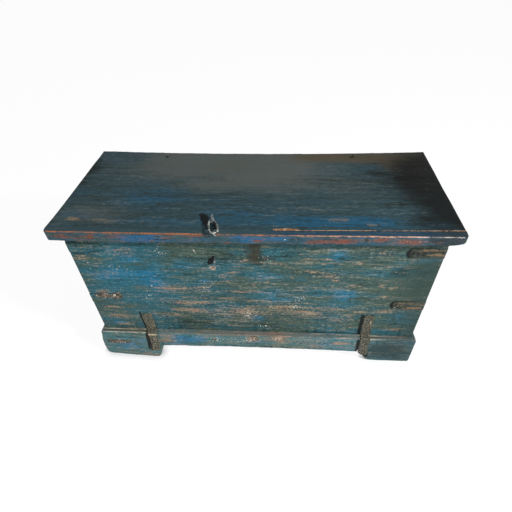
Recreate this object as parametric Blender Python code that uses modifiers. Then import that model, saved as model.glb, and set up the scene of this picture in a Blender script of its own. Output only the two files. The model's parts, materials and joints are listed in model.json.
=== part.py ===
"""A long, low trunk of painted boards.

The case stands on a plinth whose four corners come down as feet, and a flat
lid lies over it and turns on two wire hinges at the back. A link and a ring
hang from a staple in the lid's front edge, above a second staple in the front
board that a padlock joins them to. Iron straps hold the corners and the feet.

Metres, +Z up. The front faces -Y and the feet stand on Z = 0.
"""
import math

import bmesh
import bpy
from mathutils import Matrix, Vector

# The lid, and the height of its top above the ground
lid_length = 1.200
lid_depth = 0.520
lid_thickness = 0.032
overall_height = 0.590
nosing_depth = 0.025
lid_round = 0.004
lid_corner_radius = 0.006

# How far the lid stands out past the case
end_overhang = 0.031
front_overhang = 0.030
back_overhang = 0.035

# Boards of the case
wall_thickness = 0.024
back_seam_share = 0.52
floor_thickness = 0.016
floor_plank_count = 3
bearer_thickness = 0.017
bearer_width = 0.050
bearer_inset = 0.083
bearer_rise = 0.005
board_round = 0.0012

# Plinth and feet
plinth_height = 0.128
skirt_clearance = 0.055
front_plinth_thickness = 0.021
end_plinth_thickness = 0.011
plinth_round = 0.005
foot_depth = 0.130
foot_drop = 0.002
foot_recess = 0.070
left_foot_width = 0.2189
right_foot_width = 0.1993
back_foot_width = 0.2103

# Battens under the lid
batten_thickness = 0.018
batten_width = 0.045
batten_inset = 0.0985
batten_clearance = 0.018

# Wire hinges
hinge_spacing = 0.678
hinge_wire = 0.004
hinge_play = 0.0008
hinge_drop = 0.010
hinge_reach = 0.009
clench_length = 0.011

# Chain hasp
hasp_x = -0.0975
hasp_swing_degrees = 14.3
staple_wire = 0.004
staple_half_width = 0.0047
staple_stand = 0.0105
staple_bite_share = 0.80
link_wire = 0.0045
link_length = 0.062
link_half_width = 0.0125
ring_centres = 0.011
ring_half_width = 0.0095
wall_staple_x = -0.113
wall_staple_drop = 0.0855
wall_staple_wire = 0.005
wall_staple_half_width = 0.0075
wall_staple_stand = 0.0225
wall_staple_bite_share = 0.75

# Iron straps and nails
strap_thickness = 0.002
corner_strap_front = 0.112
corner_strap_end = 0.100
upper_strap_drop = 0.050
upper_strap_width = 0.034
lower_strap_rise_share = 0.4167
lower_strap_width = 0.038
left_foot_strap_width = 0.037
right_foot_strap_width = 0.033
foot_strap_margin = 0.002
left_foot_strap_rise = 0.084
right_foot_strap_rise = 0.106
foot_strap_foot_height = 0.037
foot_strap_bend_share = 0.55
nail_head_radius = 0.0048
nail_head_thickness = 0.0016
nail_shank_radius = 0.0016
nail_length = 0.018
nosing_nail_spacing = 0.653
nosing_nail_drop_share = 0.45
nosing_nail_length = 0.045

# Clearances
seat_gap = 0.0003
cut_overrun = 0.004

# Outlines, as shares of the piece's own width and height
right_foot_outline_shares = (
    (0.0, 1.0), (0.0, 0.45), (0.16, 0.14), (0.24, 0.03), (0.30, 0.0),
    (0.98, 0.0), (1.0, 0.04), (1.0, 1.0),
)
left_foot_outline_shares = (
    (0.0, 1.0), (0.0, 0.50), (0.016, 0.16), (0.045, 0.05), (0.09, 0.0),
    (0.91, 0.0), (0.967, 0.015), (1.007, 0.07), (1.027, 0.19), (1.035, 0.40), (1.03, 0.60), (1.01, 0.80),
    (1.0, 0.90), (1.0, 1.0),
)
back_foot_outline_shares = ((0.0, 1.0), (0.0, 0.05), (0.02, 0.0), (0.98, 0.0), (1.0, 0.05), (1.0, 1.0))
link_outline_shares = (
    (0.0, 0.0), (0.012, 0.36), (0.045, 0.66), (0.095, 0.87), (0.16, 0.98), (0.26, 1.0),
    (0.48, 0.98), (0.66, 0.90), (0.80, 0.76), (0.90, 0.57), (0.96, 0.38), (0.99, 0.19), (1.0, 0.0),
)
corner_nail_front_share = 0.19
corner_nail_end_share = 0.79
foot_nail_upper_share = 0.81
foot_nail_middle_share = 0.29
foot_nail_lower_share = 0.26
corner_strap_round_share = 0.42
foot_strap_round_share = 0.20
nail_shoulder_share = 0.7
nail_edge_share = 0.4
nail_point_share = 0.8
wire_arc_steps = 8
hole_sides = 12

# Places that follow from the sizes above
wire_radius = hinge_wire / 2
crown_reach = staple_stand + staple_half_width + staple_wire / 2
plan_depth = lid_depth + crown_reach
lid_front = crown_reach - plan_depth / 2
lid_back = plan_depth / 2
lid_under = overall_height - lid_thickness
half_lid = lid_length / 2
half_case = half_lid - end_overhang
case_front = lid_front + front_overhang
case_back = lid_back - back_overhang
wall_top = lid_under - seat_gap
bearer_low = skirt_clearance + bearer_rise
bearer_top = bearer_low + bearer_thickness
floor_low = bearer_top + seat_gap
floor_top = floor_low + floor_thickness
wall_low = floor_top + seat_gap
foot_top = plinth_height - foot_drop
left_foot_strap_top = plinth_height + left_foot_strap_rise
right_foot_strap_top = plinth_height + right_foot_strap_rise
upper_strap_height = lid_under - upper_strap_drop
lower_strap_height = wall_low + (wall_top - wall_low) * lower_strap_rise_share
wall_staple_height = lid_under - wall_staple_drop
batten_outer = half_case - wall_thickness - batten_inset
skirt_front = case_front - seat_gap - front_plinth_thickness
skirt_back = case_back + seat_gap + end_plinth_thickness
skirt_end = half_case + seat_gap + end_plinth_thickness
left_foot_inner = skirt_end - left_foot_width
right_foot_inner = skirt_end - right_foot_width
back_foot_inner = skirt_end - back_foot_width
bearer_outer = min(left_foot_inner, right_foot_inner, back_foot_inner) - bearer_inset
hinge_axis = Vector((0, case_back + hinge_reach, lid_under - hinge_drop))
loop_radius = hinge_wire + hinge_play
ring_outer = ring_half_width + link_wire / 2
hasp_pivot = Vector((hasp_x, lid_front - staple_stand, overall_height + staple_stand))
far_bar_rise = ring_outer + seat_gap - staple_stand
swing = math.radians(hasp_swing_degrees)
hasp_axis = Vector((math.cos(swing), math.sin(swing), 0))
hasp_along = Vector((-math.sin(swing), math.cos(swing), 0))
up = Vector((0, 0, 1))
link_tilt = math.asin(far_bar_rise / link_length)
link_along = hasp_along * math.cos(link_tilt) + up * math.sin(link_tilt)
ring_pivot = hasp_pivot + link_along * link_length

for old in list(bpy.data.objects):
    bpy.data.objects.remove(old, do_unlink=True)

trunk = bpy.data.collections.new("trunk")
cutters = bpy.data.collections.new("cutters")
bpy.context.scene.collection.children.link(trunk)
bpy.context.scene.collection.children.link(cutters)


def material(name, colour, roughness, metallic=0.0):
    made = bpy.data.materials.new(name)
    made.use_nodes = True
    shader = made.node_tree.nodes["Principled BSDF"]
    shader.inputs["Base Color"].default_value = (*colour, 1)
    shader.inputs["Roughness"].default_value = roughness
    shader.inputs["Metallic"].default_value = metallic
    return made


front_paint = material("front_paint", (0.055, 0.135, 0.15), 0.55)
lid_paint = material("lid_paint", (0.035, 0.065, 0.075), 0.4)
plinth_paint = material("plinth_paint", (0.05, 0.12, 0.14), 0.55)
bare_wood = material("bare_wood", (0.22, 0.13, 0.07), 0.7)
iron = material("iron", (0.09, 0.085, 0.08), 0.5, 0.8)
painted_iron = material("painted_iron", (0.05, 0.09, 0.10), 0.55, 0.3)


def empty(name, place):
    made = bpy.data.objects.new(name, None)
    made.location = place
    trunk.objects.link(made)
    return made


lid_turn = empty("lid_turn", hinge_axis)
link_turn = empty("link_turn", hasp_pivot)
ring_turn = empty("ring_turn", ring_pivot)
bpy.context.view_layer.update()


def add(name, data, paint, carrier=None):
    made = bpy.data.objects.new(name, data)
    data.materials.append(paint)
    trunk.objects.link(made)
    if carrier:
        made.parent = carrier
        made.matrix_parent_inverse = carrier.matrix_world.inverted()
    return made


def box_mesh(name, low, high):
    low, high = Vector(low), Vector(high)
    shape = bmesh.new()
    bmesh.ops.create_cube(shape, size=1)
    bmesh.ops.scale(shape, vec=high - low, verts=shape.verts)
    bmesh.ops.translate(shape, vec=(low + high) / 2, verts=shape.verts)
    data = bpy.data.meshes.new(name)
    shape.to_mesh(data)
    shape.free()
    return data


def round_edges(data, width, segments, chosen):
    """Round the edges for which chosen(middle, direction) is true."""
    shape = bmesh.new()
    shape.from_mesh(data)
    picked = []
    for edge in shape.edges:
        start, end = (corner.co for corner in edge.verts)
        if chosen((start + end) / 2, (end - start).normalized()):
            picked.append(edge)
    bmesh.ops.bevel(shape, geom=picked, offset=width, segments=segments, profile=0.5, affect="EDGES",
                    material=-1)
    shape.to_mesh(data)
    shape.free()


def near(a, b):
    return abs(a - b) < seat_gap / 4


def along(direction, axis):
    return abs(direction[axis]) > math.cos(math.radians(5))


def board(name, low, high, paint, carrier=None):
    """A sawn board whose edges are all just softened."""
    data = box_mesh(name, low, high)
    round_edges(data, board_round, 1, lambda middle, direction: True)
    return add(name, data, paint, carrier)


def guide(made):
    cutters.objects.link(made)
    made.hide_render = True
    made.display_type = "WIRE"
    return made


def box_cutter(name, low, high):
    return guide(bpy.data.objects.new(name, box_mesh(name, low, high)))


def hole_cutter(name, start, end, radius):
    """A round cutter from one point to another."""
    start, end = Vector(start), Vector(end)
    shape = bmesh.new()
    bmesh.ops.create_cone(shape, cap_ends=True, segments=hole_sides, radius1=radius, radius2=radius,
                          depth=(end - start).length)
    turn = (end - start).to_track_quat("Z", "Y").to_matrix().to_4x4()
    shape.transform(Matrix.Translation((start + end) / 2) @ turn)
    data = bpy.data.meshes.new(name)
    shape.to_mesh(data)
    shape.free()
    return guide(bpy.data.objects.new(name, data))


def cut(target, cutter):
    trim = target.modifiers.new(cutter.name, "BOOLEAN")
    trim.operation = "DIFFERENCE"
    trim.solver = "EXACT"
    trim.object = cutter


def wire(name, points, thickness, paint, carrier=None, closed=False):
    """A round iron wire through the points."""
    data = bpy.data.curves.new(name, "CURVE")
    data.dimensions = "3D"
    data.bevel_depth = thickness / 2
    data.bevel_resolution = 2
    data.use_fill_caps = True
    spline = data.splines.new("POLY")
    spline.points.add(len(points) - 1)
    for node, point in zip(spline.points, points):
        node.co = (*point, 1)
    spline.use_cyclic_u = closed
    return add(name, data, paint, carrier)


def arc(centre, start, end, steps=wire_arc_steps):
    """Points of the quarter or half turn from centre + start to centre + end, by way of end's side."""
    return [centre + start * math.cos(math.pi / 2 * step / steps)
            + end * math.sin(math.pi / 2 * step / steps) for step in range(steps + 1)]


def half_turn(centre, side, outward):
    """A round wire end, from centre + side, past centre + outward, to centre - side."""
    first = arc(centre, side, outward)
    second = arc(centre, outward, -side)
    return first + second[1:]


def outline_mesh(name, points, thickness, placement):
    """A flat outline given a thickness, half on each side of its plane, as a welded mesh."""
    flat = bpy.data.curves.new(name, "CURVE")
    flat.dimensions = "2D"
    flat.fill_mode = "BOTH"
    flat.extrude = thickness / 2
    spline = flat.splines.new("POLY")
    spline.points.add(len(points) - 1)
    for node, point in zip(spline.points, points):
        node.co = (*point, 0, 1)
    spline.use_cyclic_u = True
    holder = bpy.data.objects.new(name, flat)
    bpy.context.scene.collection.objects.link(holder)
    holder.matrix_world = placement
    bpy.context.view_layer.update()
    evaluated = holder.evaluated_get(bpy.context.evaluated_depsgraph_get())
    data = bpy.data.meshes.new_from_object(evaluated)
    data.transform(holder.matrix_world)
    bpy.data.objects.remove(holder)
    shape = bmesh.new()
    shape.from_mesh(data)
    bmesh.ops.remove_doubles(shape, verts=shape.verts, dist=seat_gap / 10)
    bmesh.ops.dissolve_limit(shape, angle_limit=math.radians(1), verts=shape.verts, edges=shape.edges)
    bmesh.ops.recalc_face_normals(shape, faces=shape.faces)
    shape.to_mesh(data)
    shape.free()
    return data


def ribbon(path, thickness):
    """The outline of a bent strip: the path, and the same path moved to its right by the thickness."""
    path = [Vector(point) for point in path]
    moved = []
    for place, point in enumerate(path):
        before = (point - path[place - 1]).normalized() if place else None
        after = (path[place + 1] - point).normalized() if place + 1 < len(path) else before
        before = before or after
        bend = (before + after).normalized()
        right = Vector((bend.y, -bend.x))
        moved.append(point + right * thickness / bend.dot(before))
    return path + moved[::-1]


# Walls of the case: four boards, the back one in two widths

def case_walls():
    inner_front = case_front + wall_thickness
    inner_back = case_back - wall_thickness
    back_seam = wall_low + (wall_top - wall_low) * back_seam_share
    board("front_wall", (-half_case, case_front, wall_low), (half_case, inner_front, wall_top), front_paint)
    board("back_wall_lower", (-half_case, inner_back, wall_low),
          (half_case, case_back, back_seam - seat_gap / 2), plinth_paint)
    board("back_wall_upper", (-half_case, inner_back, back_seam + seat_gap / 2),
          (half_case, case_back, wall_top), plinth_paint)
    for side, sign in (("left", -1), ("right", 1)):
        outer = sign * half_case
        inner = sign * (half_case - wall_thickness)
        board(side + "_wall", (min(outer, inner), inner_front + seat_gap, wall_low),
              (max(outer, inner), inner_back - seat_gap, wall_top), front_paint)


# Floor planks that run the length of the case under its walls, on two bearers

def case_floor():
    pitch = (case_back - case_front + seat_gap) / floor_plank_count
    for number in range(floor_plank_count):
        start = case_front + pitch * number
        board("floor_plank_%d" % (number + 1), (-half_case, start, floor_low),
              (half_case, start + pitch - seat_gap, floor_top), bare_wood)
    for side, sign in (("left", -1), ("right", 1)):
        middle = sign * (bearer_outer - bearer_width / 2)
        board("bearer_" + side, (middle - bearer_width / 2, case_front, bearer_low),
              (middle + bearer_width / 2, case_back, bearer_top), bare_wood)


# Skirts of the plinth, each between two feet, with a rounded upper edge

def skirt(name, low, high, outward_axis, outward_sign):
    data = box_mesh(name, low, high)
    face = high[outward_axis] if outward_sign > 0 else low[outward_axis]
    round_edges(data, plinth_round, 3,
                lambda middle, direction: near(middle[outward_axis], face) and near(middle.z, plinth_height))
    return add(name, data, plinth_paint)


def skirts():
    foot_back_edge = skirt_front + foot_depth + seat_gap
    foot_front_edge = skirt_back - foot_depth - seat_gap
    skirt("front_skirt", (-left_foot_inner + seat_gap, skirt_front, skirt_clearance),
          (right_foot_inner - seat_gap, case_front - seat_gap, plinth_height), 1, -1)
    skirt("back_skirt", (-back_foot_inner + seat_gap, case_back + seat_gap, skirt_clearance),
          (back_foot_inner - seat_gap, skirt_back, plinth_height), 1, 1)
    skirt("left_skirt", (-skirt_end, foot_back_edge, skirt_clearance),
          (-half_case - seat_gap, foot_front_edge, plinth_height), 0, -1)
    skirt("right_skirt", (half_case + seat_gap, foot_back_edge, skirt_clearance),
          (skirt_end, foot_front_edge, plinth_height), 0, 1)


# Corner feet: each a block that carries the case and hugs its corner. Its inner side is only as
# thick as the skirt.

def foot(name, sign_x, inner, outer_face, sign_y, outline_shares):
    width = skirt_end - inner
    points = [(sign_x * (inner + across * width), rise * foot_top) for across, rise in outline_shares]
    middle_y = outer_face - sign_y * foot_depth / 2
    placement = Matrix.Translation((0, middle_y, 0)) @ Matrix.Rotation(math.radians(90), 4, "X")
    data = outline_mesh(name, points, foot_depth, placement)
    round_edges(data, plinth_round, 3,
                lambda middle, direction: near(middle.z, foot_top)
                and (near(middle.y, outer_face) or near(abs(middle.x), skirt_end)))
    made = add(name, data, plinth_paint)
    reach = inner - cut_overrun
    corner_x = half_case + seat_gap
    corner_y = outer_face - sign_y * (foot_depth + cut_overrun)
    case_face = (case_front - seat_gap) if sign_y < 0 else (case_back + seat_gap)
    low = (min(sign_x * reach, sign_x * corner_x), min(case_face, corner_y), floor_low - seat_gap)
    high = (max(sign_x * reach, sign_x * corner_x), max(case_face, corner_y), plinth_height + cut_overrun)
    cut(made, box_cutter(name + "_rebate", low, high))
    recess_x = inner + foot_recess
    low = (min(sign_x * reach, sign_x * recess_x), low[1], -cut_overrun)
    high = (max(sign_x * reach, sign_x * recess_x), high[1], floor_low)
    cut(made, box_cutter(name + "_recess", low, high))
    return made


def feet():
    return {
        "left": foot("foot_front_left", -1, left_foot_inner, skirt_front, -1, left_foot_outline_shares),
        "right": foot("foot_front_right", 1, right_foot_inner, skirt_front, -1, right_foot_outline_shares),
        "back_left": foot("foot_back_left", -1, back_foot_inner, skirt_back, 1, back_foot_outline_shares),
        "back_right": foot("foot_back_right", 1, back_foot_inner, skirt_back, 1, back_foot_outline_shares),
    }


# Nails: a flat round head on a tapering shank, turned about its own length

def nail_mesh(name, length):
    profile = (
        (0, nail_head_thickness),
        (nail_head_radius * nail_shoulder_share, nail_head_thickness),
        (nail_head_radius, nail_head_thickness * nail_edge_share),
        (nail_head_radius, 0),
        (nail_shank_radius, 0),
        (nail_shank_radius, -length * nail_point_share),
        (0, -length),
    )
    shape = bmesh.new()
    corners = [shape.verts.new((across, 0, height)) for across, height in profile]
    for upper, lower in zip(corners, corners[1:]):
        shape.edges.new((upper, lower))
    data = bpy.data.meshes.new(name)
    shape.to_mesh(data)
    shape.free()
    return data


def nail(name, place, outward, length, pierced, paint=iron, carrier=None):
    """A nail whose head rests on the surface at place, and its hole in each pierced piece."""
    place, outward = Vector(place), Vector(outward)
    made = add(name, nail_mesh(name, length), paint)
    turn = made.modifiers.new("turn", "SCREW")
    turn.angle = math.radians(360)
    turn.steps = 10
    turn.render_steps = 10
    turn.screw_offset = 0
    turn.axis = "Z"
    turn.use_merge_vertices = True
    turn.merge_threshold = 0.00001
    seat = place + outward * seat_gap
    made.matrix_world = Matrix.Translation(seat) @ outward.to_track_quat("Z", "Y").to_matrix().to_4x4()
    if carrier:
        made.parent = carrier
        made.matrix_parent_inverse = carrier.matrix_world.inverted()
    drill = hole_cutter(name + "_hole", place + outward * cut_overrun,
                        place - outward * (length + seat_gap * 2), nail_shank_radius + seat_gap)
    for piece in pierced:
        cut(piece, drill)


# Straps of sheet iron: four round the front corners, two down over the front feet

def corner_strap(name, sign, height, width, paint, front_wall, end_wall):
    wrap_x = half_case + seat_gap
    wrap_y = case_front - seat_gap
    path = [
        (sign * (half_case - corner_strap_front), wrap_y),
        (sign * (wrap_x - board_round), wrap_y),
        (sign * wrap_x, wrap_y + board_round),
        (sign * wrap_x, wrap_y + corner_strap_end),
    ]
    if sign < 0:
        path.reverse()
    data = outline_mesh(name, ribbon(path, strap_thickness), width, Matrix.Translation((0, 0, height)))
    inner_end = half_case - corner_strap_front
    back_end = wrap_y + corner_strap_end
    round_edges(data, width * corner_strap_round_share, 4,
                lambda middle, direction: (near(abs(middle.x), inner_end) and along(direction, 1))
                or (near(middle.y, back_end) and along(direction, 0)))
    made = add(name, data, paint)
    front_nail = (sign * (inner_end + corner_strap_front * corner_nail_front_share),
                  wrap_y - strap_thickness, height)
    nail(name + "_nail_front", front_nail, (0, -1, 0), nail_length, [made, front_wall], paint)
    end_nail = (sign * (wrap_x + strap_thickness), wrap_y + corner_strap_end * corner_nail_end_share, height)
    nail(name + "_nail_end", end_nail, (sign, 0, 0), nail_length, [made, end_wall], paint)
    return made


def foot_strap(name, sign, inner, width, top, front_wall, foot_piece):
    wall_y = case_front - seat_gap
    ledge = foot_top + seat_gap
    face_y = skirt_front - seat_gap
    bend = plinth_round * foot_strap_bend_share
    path = [
        (wall_y, top),
        (wall_y, ledge),
        (face_y + bend, ledge),
        (face_y, ledge - bend),
        (face_y, foot_strap_foot_height),
    ]
    middle_x = sign * (inner + foot_strap_margin + width / 2)
    turn = Matrix(((0, 0, 1), (1, 0, 0), (0, 1, 0))).to_4x4()
    placement = Matrix.Translation((middle_x, 0, 0)) @ turn
    data = outline_mesh(name, ribbon(path, strap_thickness), width, placement)
    round_edges(data, width * foot_strap_round_share, 2,
                lambda middle, direction: along(direction, 1)
                and (near(middle.z, top) or near(middle.z, foot_strap_foot_height)))
    made = add(name, data, iron)
    wall_run = top - ledge
    foot_run = ledge - bend - foot_strap_foot_height
    upper = (middle_x, wall_y - strap_thickness, ledge + wall_run * foot_nail_upper_share)
    middle = (middle_x, wall_y - strap_thickness, ledge + wall_run * foot_nail_middle_share)
    lower = (middle_x, face_y - strap_thickness, foot_strap_foot_height + foot_run * foot_nail_lower_share)
    nail(name + "_nail_1", upper, (0, -1, 0), nail_length, [made, front_wall])
    nail(name + "_nail_2", middle, (0, -1, 0), nail_length, [made, front_wall])
    nail(name + "_nail_3", lower, (0, -1, 0), nail_length, [made, foot_piece])
    return made


def straps(foot_pieces):
    front_wall = trunk.objects["front_wall"]
    left_wall = trunk.objects["left_wall"]
    right_wall = trunk.objects["right_wall"]
    corner_strap("strap_upper_right", 1, upper_strap_height, upper_strap_width, painted_iron,
                 front_wall, right_wall)
    corner_strap("strap_lower_right", 1, lower_strap_height, lower_strap_width, painted_iron,
                 front_wall, right_wall)
    corner_strap("strap_upper_left", -1, upper_strap_height, upper_strap_width, painted_iron,
                 front_wall, left_wall)
    corner_strap("strap_lower_left", -1, lower_strap_height, lower_strap_width, painted_iron,
                 front_wall, left_wall)
    foot_strap("foot_strap_left", -1, left_foot_inner, left_foot_strap_width, left_foot_strap_top,
               front_wall, foot_pieces["left"])
    foot_strap("foot_strap_right", 1, right_foot_inner, right_foot_strap_width, right_foot_strap_top,
               front_wall, foot_pieces["right"])


# Lid: one wide board, a strip nailed along its front edge, and two battens under it

def lid():
    seam = lid_front + nosing_depth
    panel = box_mesh("lid_panel", (-half_lid, seam + seat_gap, lid_under),
                     (half_lid, lid_back, overall_height))
    round_edges(panel, lid_corner_radius, 4,
                lambda middle, direction: along(direction, 2) and near(middle.y, lid_back))
    round_edges(panel, lid_round, 2,
                lambda middle, direction: near(middle.z, overall_height) and middle.y > seam + seat_gap * 2)
    add("lid_panel", panel, lid_paint, lid_turn)
    strip = box_mesh("lid_nosing", (-half_lid, lid_front, lid_under), (half_lid, seam, overall_height))
    round_edges(strip, lid_corner_radius, 4,
                lambda middle, direction: along(direction, 2) and near(middle.y, lid_front))
    round_edges(strip, lid_round, 2,
                lambda middle, direction: near(middle.z, overall_height) and middle.y < seam - seat_gap)
    add("lid_nosing", strip, lid_paint, lid_turn)
    for side, sign in (("left", -1), ("right", 1)):
        middle = sign * (batten_outer - batten_width / 2)
        board("lid_batten_" + side,
              (middle - batten_width / 2, case_front + wall_thickness + batten_clearance,
               lid_under - seat_gap - batten_thickness),
              (middle + batten_width / 2, case_back - wall_thickness - batten_clearance,
               lid_under - seat_gap), bare_wood, lid_turn)


def nosing_nails():
    pieces = [trunk.objects["lid_nosing"], trunk.objects["lid_panel"]]
    height = overall_height - lid_thickness * nosing_nail_drop_share
    for side, sign in (("left", -1), ("right", 1)):
        place = (sign * nosing_nail_spacing / 2, lid_front, height)
        nail("nosing_nail_" + side, place, (0, -1, 0), nosing_nail_length, pieces, iron, lid_turn)


# Hinges: a wire loop through the back board and another through the lid, linked at the axis

def bent_leg(corner, leg_in, out):
    """The quarter bend where a wire's leg, coming along leg_in, turns to lie along out."""
    bend = wire_radius + seat_gap * 2
    centre = corner - leg_in * bend + out * bend
    return arc(centre, -out * bend, leg_in * bend, 4)


def hinge(side, sign):
    middle = Vector((sign * hinge_spacing / 2, hinge_axis.y, hinge_axis.z))
    x_way = Vector((1, 0, 0))
    y_way = Vector((0, 1, 0))
    back_board = trunk.objects["back_wall_upper"]
    panel = trunk.objects["lid_panel"]
    inner_face = case_back - wall_thickness
    clench_y = inner_face - seat_gap - wire_radius
    points = half_turn(middle - y_way * loop_radius, -x_way * loop_radius, y_way * loop_radius)
    first = []
    last = []
    for way, run in ((-1, first), (1, last)):
        corner = Vector((middle.x + way * loop_radius, clench_y, middle.z))
        run.extend(bent_leg(corner, -y_way, x_way * way))
        run.append(corner + x_way * way * clench_length)
        hole = hole_cutter("hinge_wall_hole_%s_%d" % (side, way),
                           (corner.x, case_back + cut_overrun, middle.z),
                           (corner.x, inner_face - cut_overrun, middle.z), wire_radius + seat_gap)
        cut(back_board, hole)
    wire("hinge_wall_loop_" + side, first[::-1] + points + last, hinge_wire, iron)

    recess_floor = overall_height - hinge_wire - seat_gap * 4
    clench_z = recess_floor + seat_gap + wire_radius
    points = half_turn(middle, -y_way * loop_radius, -up * loop_radius)
    first = []
    last = []
    for way, run in ((-1, first), (1, last)):
        corner = Vector((middle.x, middle.y + way * loop_radius, clench_z))
        run.extend(bent_leg(corner, up, x_way * way))
        run.append(corner + x_way * way * clench_length)
        hole = hole_cutter("hinge_lid_hole_%s_%d" % (side, way),
                           (corner.x, corner.y, lid_under - cut_overrun),
                           (corner.x, corner.y, overall_height), wire_radius + seat_gap)
        cut(panel, hole)
    wire("hinge_lid_loop_" + side, first[::-1] + points + last, hinge_wire, iron, lid_turn)
    room_x = clench_length + wire_radius + seat_gap * 2
    room_y = loop_radius + wire_radius + seat_gap * 4
    cut(panel, box_cutter("hinge_recess_" + side, (middle.x - room_x, middle.y - room_y, recess_floor),
                          (middle.x + room_x, middle.y + room_y, overall_height + cut_overrun)))


# Hasp: a staple in the lid's front edge, a long link, a ring, and the staple in the front board

def staple(name, centre, side, outward, half_width, thickness, bite, pierced, carrier=None):
    """A driven staple: a round crown about centre, and two legs that run back past it by bite."""
    crown = half_turn(centre, side * half_width, outward * half_width)
    first_end = crown[0] - outward * bite
    last_end = crown[-1] - outward * bite
    wire(name, [first_end] + crown + [last_end], thickness, iron, carrier)
    for number, start in ((1, crown[0]), (2, crown[-1])):
        hole = hole_cutter("%s_hole_%d" % (name, number), start,
                           start - outward * (bite + seat_gap), thickness / 2 + seat_gap)
        for piece in pierced:
            cut(piece, hole)


def hasp():
    diagonal_out = Vector((0, -1, 1)).normalized()
    diagonal_side = Vector((0, 1, 1)).normalized()
    stand = staple_stand * math.sqrt(2)
    bite = nosing_depth * staple_bite_share * math.sqrt(2) - staple_half_width + stand
    staple("lid_staple", hasp_pivot, diagonal_side, diagonal_out, staple_half_width, staple_wire, bite,
           [trunk.objects["lid_nosing"]], lid_turn)

    outline = [(share_along * link_length, share_across * link_half_width)
               for share_along, share_across in link_outline_shares]
    right_side = [hasp_pivot + link_along * reach + hasp_axis * across for reach, across in outline]
    left_side = [hasp_pivot + link_along * reach - hasp_axis * across for reach, across in outline[1:-1]]
    wire("hasp_link", right_side + left_side[::-1], link_wire, iron, link_turn, closed=True)

    far_centre = ring_pivot + hasp_along * ring_centres
    ring_points = half_turn(ring_pivot, up * ring_half_width, -hasp_along * ring_half_width)
    ring_points += half_turn(far_centre, -up * ring_half_width, hasp_along * ring_half_width)
    wire("hasp_ring", ring_points, link_wire, iron, ring_turn, closed=True)

    crown_centre = Vector((wall_staple_x,
                           case_front - wall_staple_stand + wall_staple_wire / 2 + wall_staple_half_width,
                           wall_staple_height))
    wall_bite = case_front - crown_centre.y + wall_thickness * wall_staple_bite_share
    staple("wall_staple", crown_centre, up, Vector((0, -1, 0)), wall_staple_half_width, wall_staple_wire,
           wall_bite, [trunk.objects["front_wall"]])


case_walls()
case_floor()
skirts()
foot_pieces = feet()
straps(foot_pieces)
lid()
nosing_nails()
hinge("left", -1)
hinge("right", 1)
hasp()
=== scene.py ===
"""A long trunk of old painted boards on a footed plinth, with iron straps and a chain hasp."""
import json
import math

import bmesh
import bpy
from mathutils import Matrix, Vector, noise


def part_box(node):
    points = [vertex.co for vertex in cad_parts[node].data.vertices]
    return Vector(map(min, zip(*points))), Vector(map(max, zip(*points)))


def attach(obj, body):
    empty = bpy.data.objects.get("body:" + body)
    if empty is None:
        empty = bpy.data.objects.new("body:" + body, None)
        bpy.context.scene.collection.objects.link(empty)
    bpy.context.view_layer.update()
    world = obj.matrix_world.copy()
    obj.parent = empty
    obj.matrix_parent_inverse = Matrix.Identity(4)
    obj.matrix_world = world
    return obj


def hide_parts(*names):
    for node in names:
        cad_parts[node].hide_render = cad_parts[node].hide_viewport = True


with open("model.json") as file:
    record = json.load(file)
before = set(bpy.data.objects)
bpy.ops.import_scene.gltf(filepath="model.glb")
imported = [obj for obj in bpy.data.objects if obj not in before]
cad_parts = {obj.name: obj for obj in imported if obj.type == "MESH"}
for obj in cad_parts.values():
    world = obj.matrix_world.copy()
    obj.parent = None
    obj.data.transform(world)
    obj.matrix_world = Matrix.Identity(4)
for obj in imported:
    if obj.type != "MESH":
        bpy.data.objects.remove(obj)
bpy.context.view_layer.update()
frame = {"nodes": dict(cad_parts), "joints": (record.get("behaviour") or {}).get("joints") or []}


# Floor planks and the two bearers under them, and the battens under the lid.
# Sawn softwood that was never painted, gone brown and dusty with age, each
# piece nailed to its neighbours from outside, so no fixing shows.

class Amount:
    """A number that changes over a surface. Arithmetic on it adds Math nodes to its finish."""

    def __init__(self, finish, socket):
        self.finish = finish
        self.socket = socket

    def maths(self, operation, first, second):
        return self.finish.node("ShaderNodeMath", {"operation": operation}, {0: first, 1: second})

    def __add__(self, other):
        return self.maths("ADD", self, other)

    def __radd__(self, other):
        return self.maths("ADD", other, self)

    def __sub__(self, other):
        return self.maths("SUBTRACT", self, other)

    def __rsub__(self, other):
        return self.maths("SUBTRACT", other, self)

    def __mul__(self, other):
        return self.maths("MULTIPLY", self, other)

    def higher(self, other):
        return self.maths("MAXIMUM", self, other)

    def size(self):
        return self.finish.node("ShaderNodeMath", {"operation": "ABSOLUTE"}, {0: self})

    def rise(self, low, high):
        """0 below low, 1 above high and a smooth step between them."""
        if low > high:
            return 1 - self.rise(high, low)
        return self.finish.node("ShaderNodeMapRange", {"interpolation_type": "SMOOTHSTEP"},
                                {"Value": self, "From Min": low, "From Max": high})


def shade(red, green, blue):
    """A colour as a paint chart gives it, 0 to 255, as the shader wants it."""
    parts = [part / 255 for part in (red, green, blue)]
    return (*[part / 12.92 if part <= 0.04045 else ((part + 0.055) / 1.055) ** 2.4 for part in parts], 1)


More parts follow.
